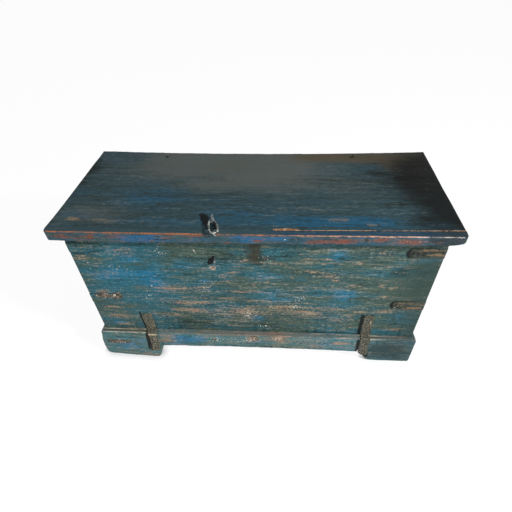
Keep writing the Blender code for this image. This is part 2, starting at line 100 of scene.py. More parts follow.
class Finish:
    """One material. coat() builds up its colour, marks() reads its table, and done() wires its shader."""

    def __init__(self, name, specular, plane="front", table=None):
        self.material = bpy.data.materials.new(name)
        self.material.use_nodes = True
        self.tree = self.material.node_tree
        self.shader = self.tree.nodes["Principled BSDF"]
        self.shader.inputs["Specular IOR Level"].default_value = specular
        self.plane = {"front": (0, 2), "lid": (0, 1), "side": (1, 2)}[plane]
        self.table = table or {}
        self.place = self.swayed = self.node("ShaderNodeTexCoord", {}, {}, "Object")

    def node(self, kind, settings, sockets, output=0):
        made = self.tree.nodes.new(kind)
        for setting, value in settings.items():
            setattr(made, setting, value)
        for socket, value in sockets.items():
            if isinstance(value, Amount):
                self.tree.links.new(value.socket, made.inputs[socket])
            else:
                made.inputs[socket].default_value = value
        return Amount(self, made.outputs[output])

    def across(self, axis):
        """How far along an axis of the trunk, in metres."""
        return self.node("ShaderNodeSeparateXYZ", {}, {0: self.place}, axis)

    def cloud(self, stretch, detail=3.0, roughness=0.55, place=None, offset=(0, 0, 0)):
        """Noise from 0 to 1 with the given number of lumps in a metre along each axis."""
        moved = self.node("ShaderNodeMapping", {"vector_type": "POINT"},
                          {"Vector": place or self.place, "Location": offset, "Scale": stretch})
        return self.node("ShaderNodeTexNoise", {}, {"Vector": moved, "Scale": 1.0, "Detail": detail,
                                                    "Roughness": roughness})

    def warped(self, amount, lumps):
        """The surface's place, pushed about by noise."""
        swirl = self.node("ShaderNodeTexNoise", {}, {"Vector": self.place, "Scale": lumps, "Detail": 2.0}, "Color")
        swing = self.node("ShaderNodeVectorMath", {"operation": "SUBTRACT"}, {0: swirl, 1: (0.5, 0.5, 0.5)})
        push = self.node("ShaderNodeVectorMath", {"operation": "MULTIPLY"}, {0: swing, 1: amount})
        return self.node("ShaderNodeVectorMath", {"operation": "ADD"}, {0: self.place, 1: push})

    def mix(self, share, under, over):
        """A share of one colour over another. Either can be an Amount or a colour of a paint chart."""
        under, over = (shade(*colour) if isinstance(colour, tuple) else colour for colour in (under, over))
        return self.node("ShaderNodeMix", {"data_type": "RGBA"}, {0: share, 6: under, 7: over}, 2)

    def coat(self, share, colour):
        """Lay a share of a colour over what the finish has so far."""
        self.colour = self.mix(share, self.colour, colour)

    def marks(self, key, sharp=False):
        """The sum of a table's soft ovals, each (across, up, half width, half height, strength), in millimetres."""
        first, second = self.plane
        total = 0
        for across, up, half_width, half_height, strength in self.table.get(key, ()):
            location = [0, 0, 0]
            size = [10, 10, 10]
            location[first], location[second] = across / 1000, up / 1000
            size[first], size[second] = half_width / 1000, half_height / 1000
            inside = self.node("ShaderNodeMapping", {"vector_type": "TEXTURE"},
                               {"Vector": self.place if sharp else self.swayed, "Location": location,
                                "Scale": size})
            oval = self.node("ShaderNodeTexGradient", {"gradient_type": "SPHERICAL"}, {"Vector": inside}, "Fac")
            total = oval * strength + total
        return total

    def done(self, roughness, height, depth, metallic=None):
        wired = {"Base Color": self.colour, "Roughness": roughness, "Metallic": metallic}
        wired["Normal"] = self.node("ShaderNodeBump", {}, {"Height": height, "Strength": 1.0, "Distance": depth})
        for socket, value in wired.items():
            if value is not None:
                self.tree.links.new(value.socket, self.shader.inputs[socket])
        return self.material


def grain(along, fine, coarse):
    """Lumps in a metre for wood grain: coarse along the board and fine across it."""
    return tuple(coarse if axis == along else fine for axis in range(3))


def bare_board(name, along, light, dark):
    """Unpainted old wood, with its grain along one axis."""
    wood = Finish(name, 0.3)
    rings = wood.cloud(grain(along, 55, 2.2), 4.0, 0.6, wood.warped((0.02, 0.02, 0.02), 5.0))
    pores = wood.cloud(grain(along, 700, 9), 2.0, 0.6)
    dust = wood.cloud((6, 6, 6), 3.0)
    wood.colour = dark
    wood.coat(rings.rise(0.35, 0.7), light)
    wood.coat(pores.rise(0.62, 0.72) * 0.55, (40, 28, 20))
    wood.coat(dust.rise(0.45, 0.75) * 0.35, (120, 108, 92))
    return wood.done(0.62 + rings * 0.25, rings * 0.6 - pores * 0.5, 0.0006)


plank_wood = bare_board("plank_wood", 0, (128, 96, 66), (78, 56, 39))
batten_wood = bare_board("batten_wood", 1, (112, 82, 56), (66, 47, 33))


def repaint(node, material):
    """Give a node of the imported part, which keeps its own shape, a material."""
    materials = frame["nodes"][node].data.materials
    materials.clear()
    materials.append(material)


for number in (1, 2, 3):
    repaint("floor_plank_%d" % number, plank_wood)
for side_name in ("left", "right"):
    repaint("bearer_" + side_name, batten_wood)
    repaint("lid_batten_" + side_name, batten_wood)


# Front board of the case: one wide plank, painted blue-green over an orange
# undercoat and rubbed through along the grain. Its back face, inside the
# trunk, is bare. It is nailed to the end boards.

x_way = Vector((1, 0, 0))
y_way = Vector((0, 1, 0))
z_way = Vector((0, 0, 1))


def worn_edges(shape, dents, lumps=38.0, kept=lambda place: False):
    """Eat into every rounded edge unevenly, by up to dents, but not where kept(place) is true."""
    shape.normal_update()
    moves = []
    for corner in shape.verts:
        if kept(corner.co):
            moves.append(Vector((0, 0, 0)))
            continue
        bend = max(edge.calc_face_angle(0.0) for edge in corner.link_edges)
        eaten = 0.5 + 0.5 * noise.noise(corner.co * lumps) + 0.4 * noise.noise(corner.co * lumps * 3.1)
        moves.append(corner.normal * -dents * min(1.0, bend / 0.4) * max(0.0, eaten))
    for corner, move in zip(shape.verts, moves):
        corner.co += move


def slice_up(shape, axis, low, high, step):
    """Cut the shape across an axis every step, so that its long edges can bend and wear."""
    count = max(2, round((high - low) / step))
    normal = Vector((0, 0, 0))
    normal[axis] = 1
    for cut in range(1, count):
        bmesh.ops.bisect_plane(shape, geom=shape.verts[:] + shape.edges[:] + shape.faces[:],
                               plane_co=normal * (low + (high - low) * cut / count), plane_no=normal,
                               dist=0.000001)


def block(low, high):
    shape = bmesh.new()
    bmesh.ops.create_cube(shape, size=1)
    bmesh.ops.scale(shape, vec=high - low, verts=shape.verts)
    bmesh.ops.translate(shape, vec=(low + high) / 2, verts=shape.verts)
    return shape


def rounded(shape, width, segments, chosen):
    """Round the edges for which chosen(middle, direction) is true."""
    picked = []
    for edge in shape.edges:
        start, end = (corner.co for corner in edge.verts)
        if chosen((start + end) / 2, (end - start).normalized()):
            picked.append(edge)
    bmesh.ops.bevel(shape, geom=picked, offset=width, segments=segments, profile=0.5, affect="EDGES", material=-1)


def piece(name, shape, materials, body, nodes, bare=None):
    """Make an object of the shape, ride it on its body and let it stand for its nodes."""
    shape.normal_update()
    for face in shape.faces:
        face.smooth = max(abs(part) for part in face.normal) < 0.9999
        if bare is not None and face.normal.dot(bare) > 0.5:
            face.material_index = 1
    for edge in shape.edges:
        edge.smooth = edge.calc_face_angle(0.0) < math.radians(50)
    data = bpy.data.meshes.new(name)
    shape.to_mesh(data)
    shape.free()
    for material in materials:
        data.materials.append(material)
    made = bpy.data.objects.new(name, data)
    bpy.context.scene.collection.objects.link(made)
    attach(made, body)
    if nodes:
        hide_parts(*nodes)
    return made


def board(name, node, materials, along, edge, dents, bare=None):
    """A worn plank in the place of a node of the case."""
    low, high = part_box(node)
    shape = block(low, high)
    rounded(shape, edge, 2, lambda middle, direction: True)
    slice_up(shape, along, low[along], high[along], 0.011)
    worn_edges(shape, dents)
    return piece(name, shape, materials, "case", [node], bare)


def old_paint(name, along, plane, tones, wood, marks, amounts, extra=None):
    """Worn paint: tones, then blue, grime, rubbed-through wood and pale flecks over one another."""
    paint = Finish(name, 0.15, plane, marks)
    size = amounts.get("size", 1.0)

    def grained(fine, coarse, detail, roughness, place=None, offset=(0, 0, 0)):
        return paint.cloud(grain(along, fine / size, coarse / size), detail, roughness, place, offset) - 0.5

    wavy = paint.warped((0.05, 0.02, 0.016), 7.0)
    paint.swayed = paint.warped((0.036, 0.014, 0.014), 24.0)
    blotch = grained(13, 5, 4.0, 0.65)
    band = grained(46, 5, 4.0, 0.65, wavy)
    streak = grained(120, 14, 4.0, 0.7, wavy, (4, 1, 2))
    grit = grained(190, 80, 3.0, 0.75, None, (2, 6, 1))
    speckle = grained(210, 210, 2.0, 0.7)
    lines = band * 2.4 + streak * 3.6 + grit * 2.8

    faded = paint.marks("faded") * 0.3 + blotch * 1.3 + band * 1.6
    paint.colour = tones["body"]
    paint.coat((faded + streak * 0.8).rise(-0.26, 0.30), tones["other"])
    blue = paint.marks("blue") * 0.9 + blotch * -2.4 + lines * 0.7
    blue_here = blue.rise(amounts["blue"], amounts["blue"] + amounts.get("soft", 0.6))
    paint.coat(blue_here * 0.8, tones["blue"])
    tone = streak * 2.8 + grit * 2.8 + band * 1.6
    texture = (1 - paint.marks("calm") * 0.6) * amounts.get("texture", 0.6)
    paint.coat(tone.rise(0.0, 0.9) * texture, tones["pale"])
    paint.coat(tone.rise(0.05, -0.75) * (texture + 0.1), tones["grime"])

    dirt = grained(30, 10, 5.0, 0.75, paint.swayed, (7, 3, 5))
    grime = paint.marks("grime") * 0.8 + dirt * 3.0 - lines * 0.4
    grime_here = grime.rise(amounts["grime"], amounts["grime"] + 0.8)
    paint.coat(grime_here * 0.75, tones["grime"])

    worn = paint.marks("worn") + lines * 0.8 + speckle * 1.4 - blotch * 0.9
    worn_here = worn.rise(amounts["worn"] - 0.5, amounts["worn"] + 0.75)
    ground = grained(60, 18, 3.0, 0.7, None, (3, 9, 1))
    under = paint.mix(ground.rise(-0.03, 0.11), wood["tan"], wood["orange"])
    under = paint.mix((grit + speckle).rise(0.08, -0.10) * 0.8, under, wood["dull"])
    paint.coat(worn_here * amounts["worn_strength"], under)
    dust = (worn * 0.55 + speckle * 1.8 + grit * 0.9).rise(0.24, 0.85)
    paint.coat(dust * amounts.get("dust", 0.45), wood["dust"])

    chips = paint.cloud((210, 210, 240), 1.0, 0.5, None, (2, 4, 6))
    flecks = paint.marks("flecks") * 0.22 + chips + worn_here * 0.04
    flecks_here = flecks.rise(amounts["flecks"], amounts["flecks"] + 0.05)
    paint.coat(flecks_here * 0.85, wood["cream"])
    if extra:
        extra(paint, streak, speckle + grit)
    rough = amounts.get("rough", 0.55) + worn_here * 0.2 + grime_here * 0.15 + streak * 0.4
    height = streak * 0.5 + grit * 0.5 + speckle * 0.3 - worn_here * 0.35 + flecks_here * 0.4
    return paint.done(rough, height, amounts.get("relief", 0.0008))


front_tones = {"body": (42, 98, 111), "other": (64, 82, 73), "pale": (106, 130, 126), "blue": (24, 110, 144),
               "grime": (34, 46, 41)}
front_wood = {"tan": (164, 136, 110), "orange": (176, 114, 84), "dull": (92, 84, 68), "cream": (228, 226, 214),
              "dust": (142, 142, 128)}
front_marks = {
    "calm": [
        (-420, 400, 200, 130, 1), (500, 400, 130, 110, 0.9), (-450, 220, 140, 80, 0.8), (-320, 500, 120, 50, 0.6),
        (160, 400, 100, 50, 0.5),
    ],
    "faded": [
        (450, 350, 320, 260, 0.8), (-150, 500, 260, 70, 0.7), (0, 190, 420, 90, 1.2), (50, 400, 240, 100, 0.5),
        (-460, 400, 160, 160, -0.8), (-360, 300, 100, 100, -0.5),
    ],
    "blue": [
        (-452, 395, 150, 75, 1), (-330, 400, 70, 110, 0.9), (105, 298, 90, 35, 1), (18, 201, 50, 30, 1),
        (267, 493, 60, 35, 1), (308, 325, 50, 40, 0.9), (-160, 380, 50, 16, 0.9), (-240, 430, 80, 20, 0.7),
        (440, 420, 60, 40, 0.3), (60, 330, 90, 14, 0.7), (500, 215, 50, 50, 0.6), (-505, 160, 60, 12, 1),
        (-385, 465, 60, 32, 0.8), (-230, 455, 80, 24, 0.5),
    ],
    # The grime oval at (600, 360) is painted shade that darkens the right end.
    "grime": [
        (-257, 168, 120, 55, 1), (-157, 168, 90, 40, 0.9), (41, 159, 80, 30, 0.9), (-510, 500, 80, 60, 0.9),
        (-143, 492, 120, 40, 0.6), (133, 506, 120, 30, 0.9), (130, 420, 140, 30, 0.5), (380, 310, 60, 16, 0.9),
        (9, 500, 45, 60, 1), (260, 180, 160, 50, 0.5), (-530, 535, 70, 20, 1), (430, 290, 50, 40, 0.4),
        (600, 360, 120, 500, 0.5), (480, 165, 180, 70, 0.7), (340, 440, 300, 160, 0.5), (-30, 475, 240, 45, 0.9),
        (0, 250, 330, 60, 0.4), (460, 440, 120, 80, 0.5),
    ],
    "worn": [
        (-534, 473, 36, 16, 1), (-388, 488, 45, 30, 0.8), (-239, 341, 110, 12, 1.2), (-250, 274, 120, 12, 1.3),
        (-232, 235, 90, 12, 1.2), (-283, 175, 26, 9, 1), (-509, 244, 45, 10, 0.9), (-493, 193, 60, 16, 0.9),
        (-476, 147, 40, 6, 1.2), (-510, 320, 40, 12, 0.9), (-18, 470, 24, 7, 1.1), (40, 478, 20, 8, 1.1),
        (-107, 400, 30, 24, 0.7), (-85, 378, 36, 8, 1), (-67, 419, 46, 6, 1.2), (-62, 334, 170, 8, 1.2),
        (51, 383, 12, 10, 1), (3, 366, 12, 9, 1), (128, 403, 18, 9, 1.1), (230, 479, 32, 7, 1.3), (175, 478, 24, 5, 1),
        (219, 459, 15, 5, 1), (245, 410, 40, 14, 1), (262, 392, 24, 10, 0.9), (199, 426, 90, 8, 0.9),
        (131, 262, 90, 9, 1.2), (187, 239, 48, 10, 1.5), (138, 343, 70, 10, 0.9), (-40, 239, 60, 16, 0.8),
        (-72, 156, 55, 6, 1.4), (391, 505, 65, 9, 1.2), (335, 466, 18, 8, 1), (423, 454, 32, 7, 1.2),
        (409, 374, 17, 8, 1.4), (449, 364, 26, 10, 1.1), (422, 324, 32, 11, 1.4), (448, 252, 36, 10, 1.1),
        (368, 247, 24, 7, 1.1), (332, 226, 18, 8, 1.1), (498, 158, 60, 10, 1), (324, 372, 45, 8, 1),
        (80, 455, 110, 6, 0.8), (270, 262, 90, 10, 0.8), (-150, 300, 140, 10, 0.8), (300, 205, 110, 16, 0.7),
        (0, 240, 340, 80, 0.55), (170, 230, 80, 20, 0.5), (-225, 469, 70, 32, -0.9), (-120, 471, 90, 30, -0.6),
        (90, 476, 80, 30, -0.5), (90, 417, 120, 30, -0.4), (270, 298, 90, 22, -0.7), (-390, 440, 90, 60, -0.5),
        (-160, 350, 50, 18, 0.7), (-310, 204, 90, 22, 0.5), (529, 470, 50, 60, -0.8),
    ],
    "flecks": [
        (-292, 498, 60, 44, 0.95), (-431, 421, 60, 40, 0.95), (-337, 351, 10, 7, 1.6), (-529, 297, 12, 12, 1.4),
        (-170, 500, 50, 30, 0.75), (40, 475, 50, 36, 0.85), (-160, 330, 50, 90, 0.75), (30, 160, 60, 12, 1.1),
        (150, 300, 80, 40, 0.95), (-530, 460, 20, 60, 0.7), (290, 500, 60, 20, 0.6), (-20, 215, 60, 40, 0.95),
        (150, 262, 60, 16, 1), (-360, 300, 30, 60, 0.8),
    ],
    "stain": [(7, 530, 31, 70, 1.2), (4, 478, 26, 38, 0.9)],
    "patch": [(-518, 300, 40, 18, 0.9), (-473, 300, 23, 21, 1.5)],
    # Painted shade: the right end of the front darker.
    "right_end_shade": [(630, 380, 230, 500, 1.5)],
    # rust: the front staple's painted shadow, black ovals to its lower left.
    "rust": [(-128, 464, 11, 14, 1.2), (-119, 474.5, 9, 13, 1.1), (-133.5, 456, 8, 9, 1)],
    "spot": [(-127, 439.5, 14.5, 11, 1), (-121.5, 427.5, 11, 9, 0.9)],
    "heart": [(-123.5, 437, 6, 6, 1)],
}


def strap_shadow_line(paint, top, bottom, width):
    """A painted shadow beside a strap: a black line on the front between two points (across, up)."""
    height = paint.across("Z")
    slope = (top[0] - bottom[0]) / (top[1] - bottom[1])
    off = (paint.across("X") - (height - bottom[1]) * slope - bottom[0]).size()
    here = off.rise(width, width * 0.60) * height.rise(bottom[1] - 0.003, bottom[1] + 0.002)
    paint.coat(here * height.rise(top[1] + 0.003, top[1] - 0.002) * 0.92, (16, 19, 18))


def rough_patch(paint, streak, speckle):
    """Flaked paint in soft spots: olive brown, with rusty and cream specks."""
    spotted = paint.marks("patch").rise(0.0, 0.45) * (speckle + streak * 0.3 + 0.65)
    paint.coat(spotted.rise(0.24, 0.54) * 0.8, (66, 64, 50))
    paint.coat(spotted.rise(0.64, 0.74) * 0.6, (150, 96, 76))
    paint.coat(spotted.rise(0.75, 0.82) * 0.9, (230, 222, 204))


def front_stains_and_shadows(paint, streak, speckle):
    """The stain under the lid, a rough patch, painted shade at the right end, the staple's painted shadow and the
    rubbed place round it, and painted shadows beside the straps.
    """
    stain = paint.marks("stain")
    stained = (stain + streak * 1.6 + speckle * 1.6).rise(0.15, 0.85) * stain.rise(0.0, 0.3)
    paint.coat(stained * 0.8, (58, 54, 42))
    rough_patch(paint, streak, speckle)
    # Painted shade darkening the right end of the front.
    paint.coat((paint.marks("right_end_shade") + streak * 0.5).rise(0.05, 0.9) * 0.7, (36, 54, 50))
    # Painted shadow of the front staple, nearly black.
    paint.coat((paint.marks("rust", True) + speckle * 0.3).rise(0.12, 0.34) * 0.95, (15, 18, 17))
    spot = paint.marks("spot")
    rubbed = (spot + speckle * 3.2 + streak * 1.6).rise(0.35, 0.72) * spot.rise(0.0, 0.15)
    paint.coat(rubbed * 0.8, (186, 168, 148))
    paint.coat(paint.marks("heart", True).rise(0.1, 0.4) * 0.8, (96, 58, 44))
    # Painted shadows: black lines beside the left edges of the foot straps.
    strap_shadow_line(paint, (-0.4140, 0.2165), (-0.4080, 0.1290), 0.0050)
    strap_shadow_line(paint, (0.3750, 0.2340), (0.3755, 0.1290), 0.0062)


front_paint = old_paint("front_paint_worn", 0, "front", front_tones, front_wood, front_marks,
                        {"blue": 0.25, "grime": 0.4, "worn": 0.60, "worn_strength": 0.85, "flecks": 0.81,
                         "texture": 0.7}, front_stains_and_shadows)
inside_wood = bare_board("inside_wood", 0, (112, 84, 58), (70, 50, 36))
board("front_board", "front_wall", [front_paint, inside_wood], 0, 0.0022, 0.0008, y_way)


# End boards and the two back boards: the same old paint, less handled than
# the front, with scuffs along the grain. The end boards stand between the
# front and the back, and the back is made up of two widths.

plain_marks = {
    "blue": [(-300, 330, 220, 70, 0.8), (260, 440, 160, 60, 0.8), (100, 200, 200, 50, 0.7)],
    "grime": [(0, 130, 600, 60, 0.8), (-100, 540, 600, 30, 0.8), (420, 300, 100, 140, 0.6)],
    "worn": [(-420, 240, 100, 20, 0.9), (180, 290, 160, 12, 1), (400, 500, 80, 12, 1), (-120, 450, 120, 10, 0.9)],
    "flecks": [(-200, 400, 120, 50, 0.6), (340, 220, 90, 50, 0.6)],
}
plain_amounts = {"blue": 0.3, "grime": 0.25, "worn": 0.85, "worn_strength": 0.8, "flecks": 0.86}
back_paint = old_paint("back_paint_worn", 0, "front", front_tones, front_wood, plain_marks, plain_amounts)
end_paint = old_paint("end_paint_worn", 1, "side", front_tones, front_wood, plain_marks, plain_amounts)
inside_end_wood = bare_board("inside_end_wood", 1, (108, 80, 56), (66, 48, 35))
for side_name, inward in (("left", x_way), ("right", -x_way)):
    board("end_board_" + side_name, side_name + "_wall", [end_paint, inside_end_wood], 1, 0.002, 0.0012,
          inward)
for part in ("lower", "upper"):
    board("back_board_" + part, "back_wall_" + part, [back_paint, inside_wood], 0, 0.002, 0.0014,
          -y_way)


# Plinth: skirts nailed round the foot of the case between four corner blocks
# that come down as feet. The upper edge is moulded, and its two ridges are
# rubbed to the pale wood while the hollow between them is painted darker.
# Painted shade darkens the right end, and painted shadows lie beside the straps.

def ridge_wear_and_shadows(paint, streak, speckle):
    """Pale wood along the two ridges of the moulded edge with a dark line between them, painted shade at the right
    end, a black painted shadow at the right foot, and painted shadows beside the foot straps.
    """
    depth = paint.across("Y")
    height = paint.across("Z")
    handled = paint.marks("handled", True)
    nose = (height - (0.1250 + streak * 0.006)).size()
    outer = nose.rise(0.0048, 0.0016) * (depth + 0.2427).size().rise(0.0060, 0.0030)
    top = height.rise(0.1205, 0.1250)
    inner = top * (depth + 0.2262).size().rise(0.0042, 0.0014)
    hollow = top * (depth + 0.2330).size().rise(0.0046, 0.0020)
    rubbed = outer.higher(inner) * (0.34 + handled * 0.7 + streak * 2.6) + speckle * 1.2
    paint.coat(top * (paint.marks("middle", True) * 0.35 + streak * 0.5 + 0.25), (116, 92, 80))
    paint.coat(hollow * handled.rise(0.1, 0.6) * 0.6, (70, 62, 50))
    rubbed_wood = paint.mix(handled.rise(0.3, 0.7), (152, 134, 116), (190, 182, 158))
    paint.coat(rubbed.rise(0.30, 0.90) * 0.85, rubbed_wood)
    # Painted shade darkening the right end of the plinth.
    paint.coat((paint.marks("dark", True) + streak * 0.6).rise(0.1, 0.9) * 0.65, (38, 56, 60))
    # Painted shadow: a black wedge at the right foot, beside the bottom of its strap.
    paint.coat(paint.marks("wedge", True).rise(0.1, 0.3) * 0.9, (14, 15, 14))
    rough_patch(paint, streak, speckle)
    # Painted shadows: black lines beside the left edges of the foot straps.
    strap_shadow_line(paint, (-0.4060, 0.1180), (-0.4090, 0.0390), 0.0052)
    strap_shadow_line(paint, (0.3755, 0.1200), (0.3775, 0.0440), 0.0060)


plinth_tones = {"body": (68, 118, 127), "other": (88, 106, 96), "pale": (130, 148, 142), "blue": (42, 114, 150),
                "grime": (42, 55, 52)}
plinth_marks = {
    "blue": [(-480, 60, 120, 60, 1.1), (-250, 95, 90, 34, 1.5), (20, 90, 120, 20, 0.6), (280, 95, 80, 20, 0.6)],
    # The first grime oval is painted shade that darkens the right end.
    "grime": [(480, 60, 170, 130, 1.9), (-570, 80, 20, 80, 0.3), (50, 62, 400, 12, 0.9), (200, 100, 240, 30, 0.5)],
    "worn": [
        (77, 122, 60, 12, 1.3), (-333, 85, 45, 16, 1.4), (-10, 106, 34, 14, 1.6), (321, 99, 45, 14, 1.3),
        (90, 105, 24, 18, 0.9), (-525, 73, 60, 14, 1.1), (140, 100, 300, 20, 0.7), (-330, 110, 50, 20, 0.6),
        (-440, 10, 110, 12, 1.1), (430, 50, 50, 6, 1), (200, 66, 140, 6, 0.8),
    ],
    "flecks": [
        (-80, 95, 180, 40, 0.75), (-146, 95, 50, 30, 0.6), (-10, 106, 40, 22, 1.4), (-525, 73, 60, 12, 1.35),
        (-536, 33, 10, 9, 1.8), (261, 112, 5, 20, 1.6), (90, 112, 60, 18, 0.8), (250, 90, 60, 20, 0.7),
    ],
    "handled": [
        (-400, 126, 30, 20, 0.8), (430, 126, 80, 30, 0.7), (320, 126, 50, 20, 0.5), (-530, 126, 100, 20, 0.8),
        (-440, 126, 60, 20, 0.4),
    ],
    "middle": [(30, 125, 300, 100, 1)],
    # Painted shade at the right end.
    "dark": [(500, 60, 200, 130, 1), (560, 60, 60, 130, 0.8)],
    # Painted shadow at the right foot.
    "wedge": [(408, 32, 20, 24, 1)],
    "patch": [(-528, 73, 55, 14, 1.2), (-8, 107, 32, 18, 1.6), (-152, 98, 16, 12, 0.8)],
}
plinth_amounts = {"blue": 0.25, "grime": 0.4, "worn": 0.55, "worn_strength": 0.9, "flecks": 0.80}
plinth_front_paint = old_paint("plinth_front_paint", 0, "front", plinth_tones, front_wood, plinth_marks,
                               plinth_amounts, ridge_wear_and_shadows)
plinth_back_paint = old_paint("plinth_back_paint", 0, "front", front_tones, front_wood, plain_marks, plain_amounts)
plinth_end_paint = old_paint("plinth_end_paint", 1, "side", front_tones, front_wood, plain_marks, plain_amounts)


def skirt(name, node, paint, along, outward, sag=0.0):
    low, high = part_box(node)
    shape = block(low, high)
    axis = 1 - along
    face = high[axis] if outward > 0 else low[axis]
    rounded(shape, 0.005, 3, lambda middle, direction: abs(middle[axis] - face) < 0.0001
            and abs(middle.z - high.z) < 0.0001)
    rounded(shape, 0.0015, 1, lambda middle, direction: middle.z < low.z + 0.001 and abs(direction[along]) > 0.9)
    slice_up(shape, along, low[along], high[along], 0.011)
    inner = low[axis] + high[axis] - face
    worn_edges(shape, 0.0022, 24.0, lambda place: abs(place[axis] - inner) < 0.0005)
    for corner in shape.verts:
        if corner.co.z < low.z + 0.005:
            corner.co.z -= sag * (corner.co[along] / high[along]) ** 2
    return piece(name, shape, [paint], "case", [node])


skirt("skirt_front", "front_skirt", plinth_front_paint, 0, -1, 0.0065)
skirt("skirt_back", "back_skirt", plinth_back_paint, 0, 1)
skirt("skirt_left", "left_skirt", plinth_end_paint, 1, -1)
skirt("skirt_right", "right_skirt", plinth_end_paint, 1, 1)


def toe_out(shape, depth):
    """Push the lower front of the left foot forward, most at its inner side."""
    for corner in shape.verts:
        inward = min(1.0, max(0.0, (corner.co.x + 0.68) / 0.28))
        if corner.co.y < -0.235:
            corner.co.y -= depth * inward * max(0.0, 1 - corner.co.z / 0.115)


def corner_foot(name, node, paint, dents, toe=0.0):
    """A corner block, its sharp edges softened and its toes scuffed."""
    wall_face = abs(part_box("front_wall")[0].y)
    low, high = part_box(node)
    shape = bmesh.new()
    shape.from_mesh(frame["nodes"][node].data)
    bmesh.ops.remove_doubles(shape, verts=shape.verts, dist=0.00002)
    bmesh.ops.dissolve_limit(shape, angle_limit=math.radians(2), verts=shape.verts, edges=shape.edges)
    slice_up(shape, 0, low.x, high.x, 0.012)
    slice_up(shape, 1, low.y, high.y, 0.013)
    slice_up(shape, 2, low.z, high.z, 0.012)
    toe_out(shape, toe)
    worn_edges(shape, dents, 30.0, lambda place: place.z > high.z - 0.0005 and abs(abs(place.y) - wall_face) < 0.003)
    return piece(name, shape, [paint], "case", [node])


corner_foot("foot_block_front_left", "foot_front_left", plinth_front_paint, 0.0018, 0.0150)
corner_foot("foot_block_front_right", "foot_front_right", plinth_front_paint, 0.0018)
corner_foot("foot_block_back_left", "foot_back_left", plinth_back_paint, 0.0018)
corner_foot("foot_block_back_right", "foot_back_right", plinth_back_paint, 0.0018)


# Lid: one wide plank, dished a little along its back edge, with a strip let in
# along the front. The join opens only toward the right, where its edges are
# rubbed bare. Dark paint, smoother than the case, with a painted sheen toward
# the back and painted shade toward the ends, most at the right.

lid_low, lid_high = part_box("lid_panel")
strip_low, strip_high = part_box("lid_nosing")
strip_depth = 0.020
join_start = 0.065
join_slope = 0.0193
join_gap = 0.0002
back_bow = 0.010
back_dish = 0.0045
strip_dish = 0.0022


def join_depth(x):
    """How far the join lies behind the lid's front at x."""
    return strip_depth + join_slope * max(0.0, x - join_start)


def long_bow(x):
    """1 at the middle of the lid and 0 at its ends."""
    return 1 - (x / lid_high.x) ** 2


def lid_plank():
    low = Vector((lid_low.x, strip_low.y + strip_depth, lid_low.z))
    high = lid_high
    shape = block(low, high)
    rounded(shape, 0.004, 3, lambda middle, direction: abs(direction.z) > 0.9 and middle.y > 0)
    rounded(shape, 0.004, 3, lambda middle, direction: middle.z > high.z - 0.001 and middle.y > low.y + 0.001)
    rounded(shape, 0.0015, 1, lambda middle, direction: middle.z < low.z + 0.001 and middle.y > low.y + 0.001)
    rounded(shape, 0.0012, 1, lambda middle, direction: abs(direction.x) > 0.9 and middle.y < low.y + 0.001
            and middle.z > high.z - 0.001)
    slice_up(shape, 0, low.x, high.x, 0.0115)
    slice_up(shape, 1, low.y, high.y, 0.050)
    for corner in shape.verts:
        behind = max(0.0, (corner.co.y - low.y) / (high.y - low.y))
        corner.co.y -= back_bow * long_bow(corner.co.x) * behind ** 3
        if corner.co.z > high.z - 0.006:
            corner.co.z -= back_dish * long_bow(corner.co.x) * behind ** 1.5
    worn_edges(shape, 0.0016, 26.0)
    for corner in shape.verts:
        if corner.co.y < low.y + 0.004:
            corner.co.y = low.y + join_depth(corner.co.x) - strip_depth
            if corner.co.x < join_start and corner.co.z > high.z - 0.003:
                corner.co.z = high.z
            elif corner.co.z > high.z - 0.003:
                corner.co.y += 0.0012
    return shape


def front_strip():
    low = strip_low
    high = Vector((strip_high.x, strip_low.y + strip_depth - join_gap, strip_high.z))
    shape = block(low, high)
    rounded(shape, 0.016, 5, lambda middle, direction: abs(direction.z) > 0.9 and middle.y < low.y + 0.001
            and middle.x > 0)
    rounded(shape, 0.010, 3, lambda middle, direction: abs(direction.z) > 0.9 and middle.y < low.y + 0.001
            and middle.x < 0)
    rounded(shape, 0.0034, 3, lambda middle, direction: middle.z > high.z - 0.001 and middle.y < high.y - 0.001)
    rounded(shape, 0.002, 2, lambda middle, direction: middle.z < low.z + 0.001 and middle.y < high.y - 0.001)
    slice_up(shape, 0, low.x, high.x, 0.0075)
    worn_edges(shape, 0.0015, 30.0)
    for corner in shape.verts:
        x = corner.co.x
        if corner.co.z < low.z + 0.006:
            corner.co.z += 0.009 * max(0.0, (x - 0.53) / 0.07) ** 2
        if corner.co.y > high.y - 0.002:
            corner.co.y = strip_low.y + join_depth(x) - join_gap
            if x > join_start and corner.co.z > high.z - 0.003:
                corner.co.z = high.z - 0.0012
            elif corner.co.z > high.z - 0.003:
                corner.co.z = high.z
        elif corner.co.z > high.z - 0.006:
            corner.co.z -= strip_dish * long_bow(x)
        elif corner.co.z < low.z + 0.006:
            corner.co.z -= 0.0030 * (long_bow(x) if x > 0 else 1.0)
    return shape


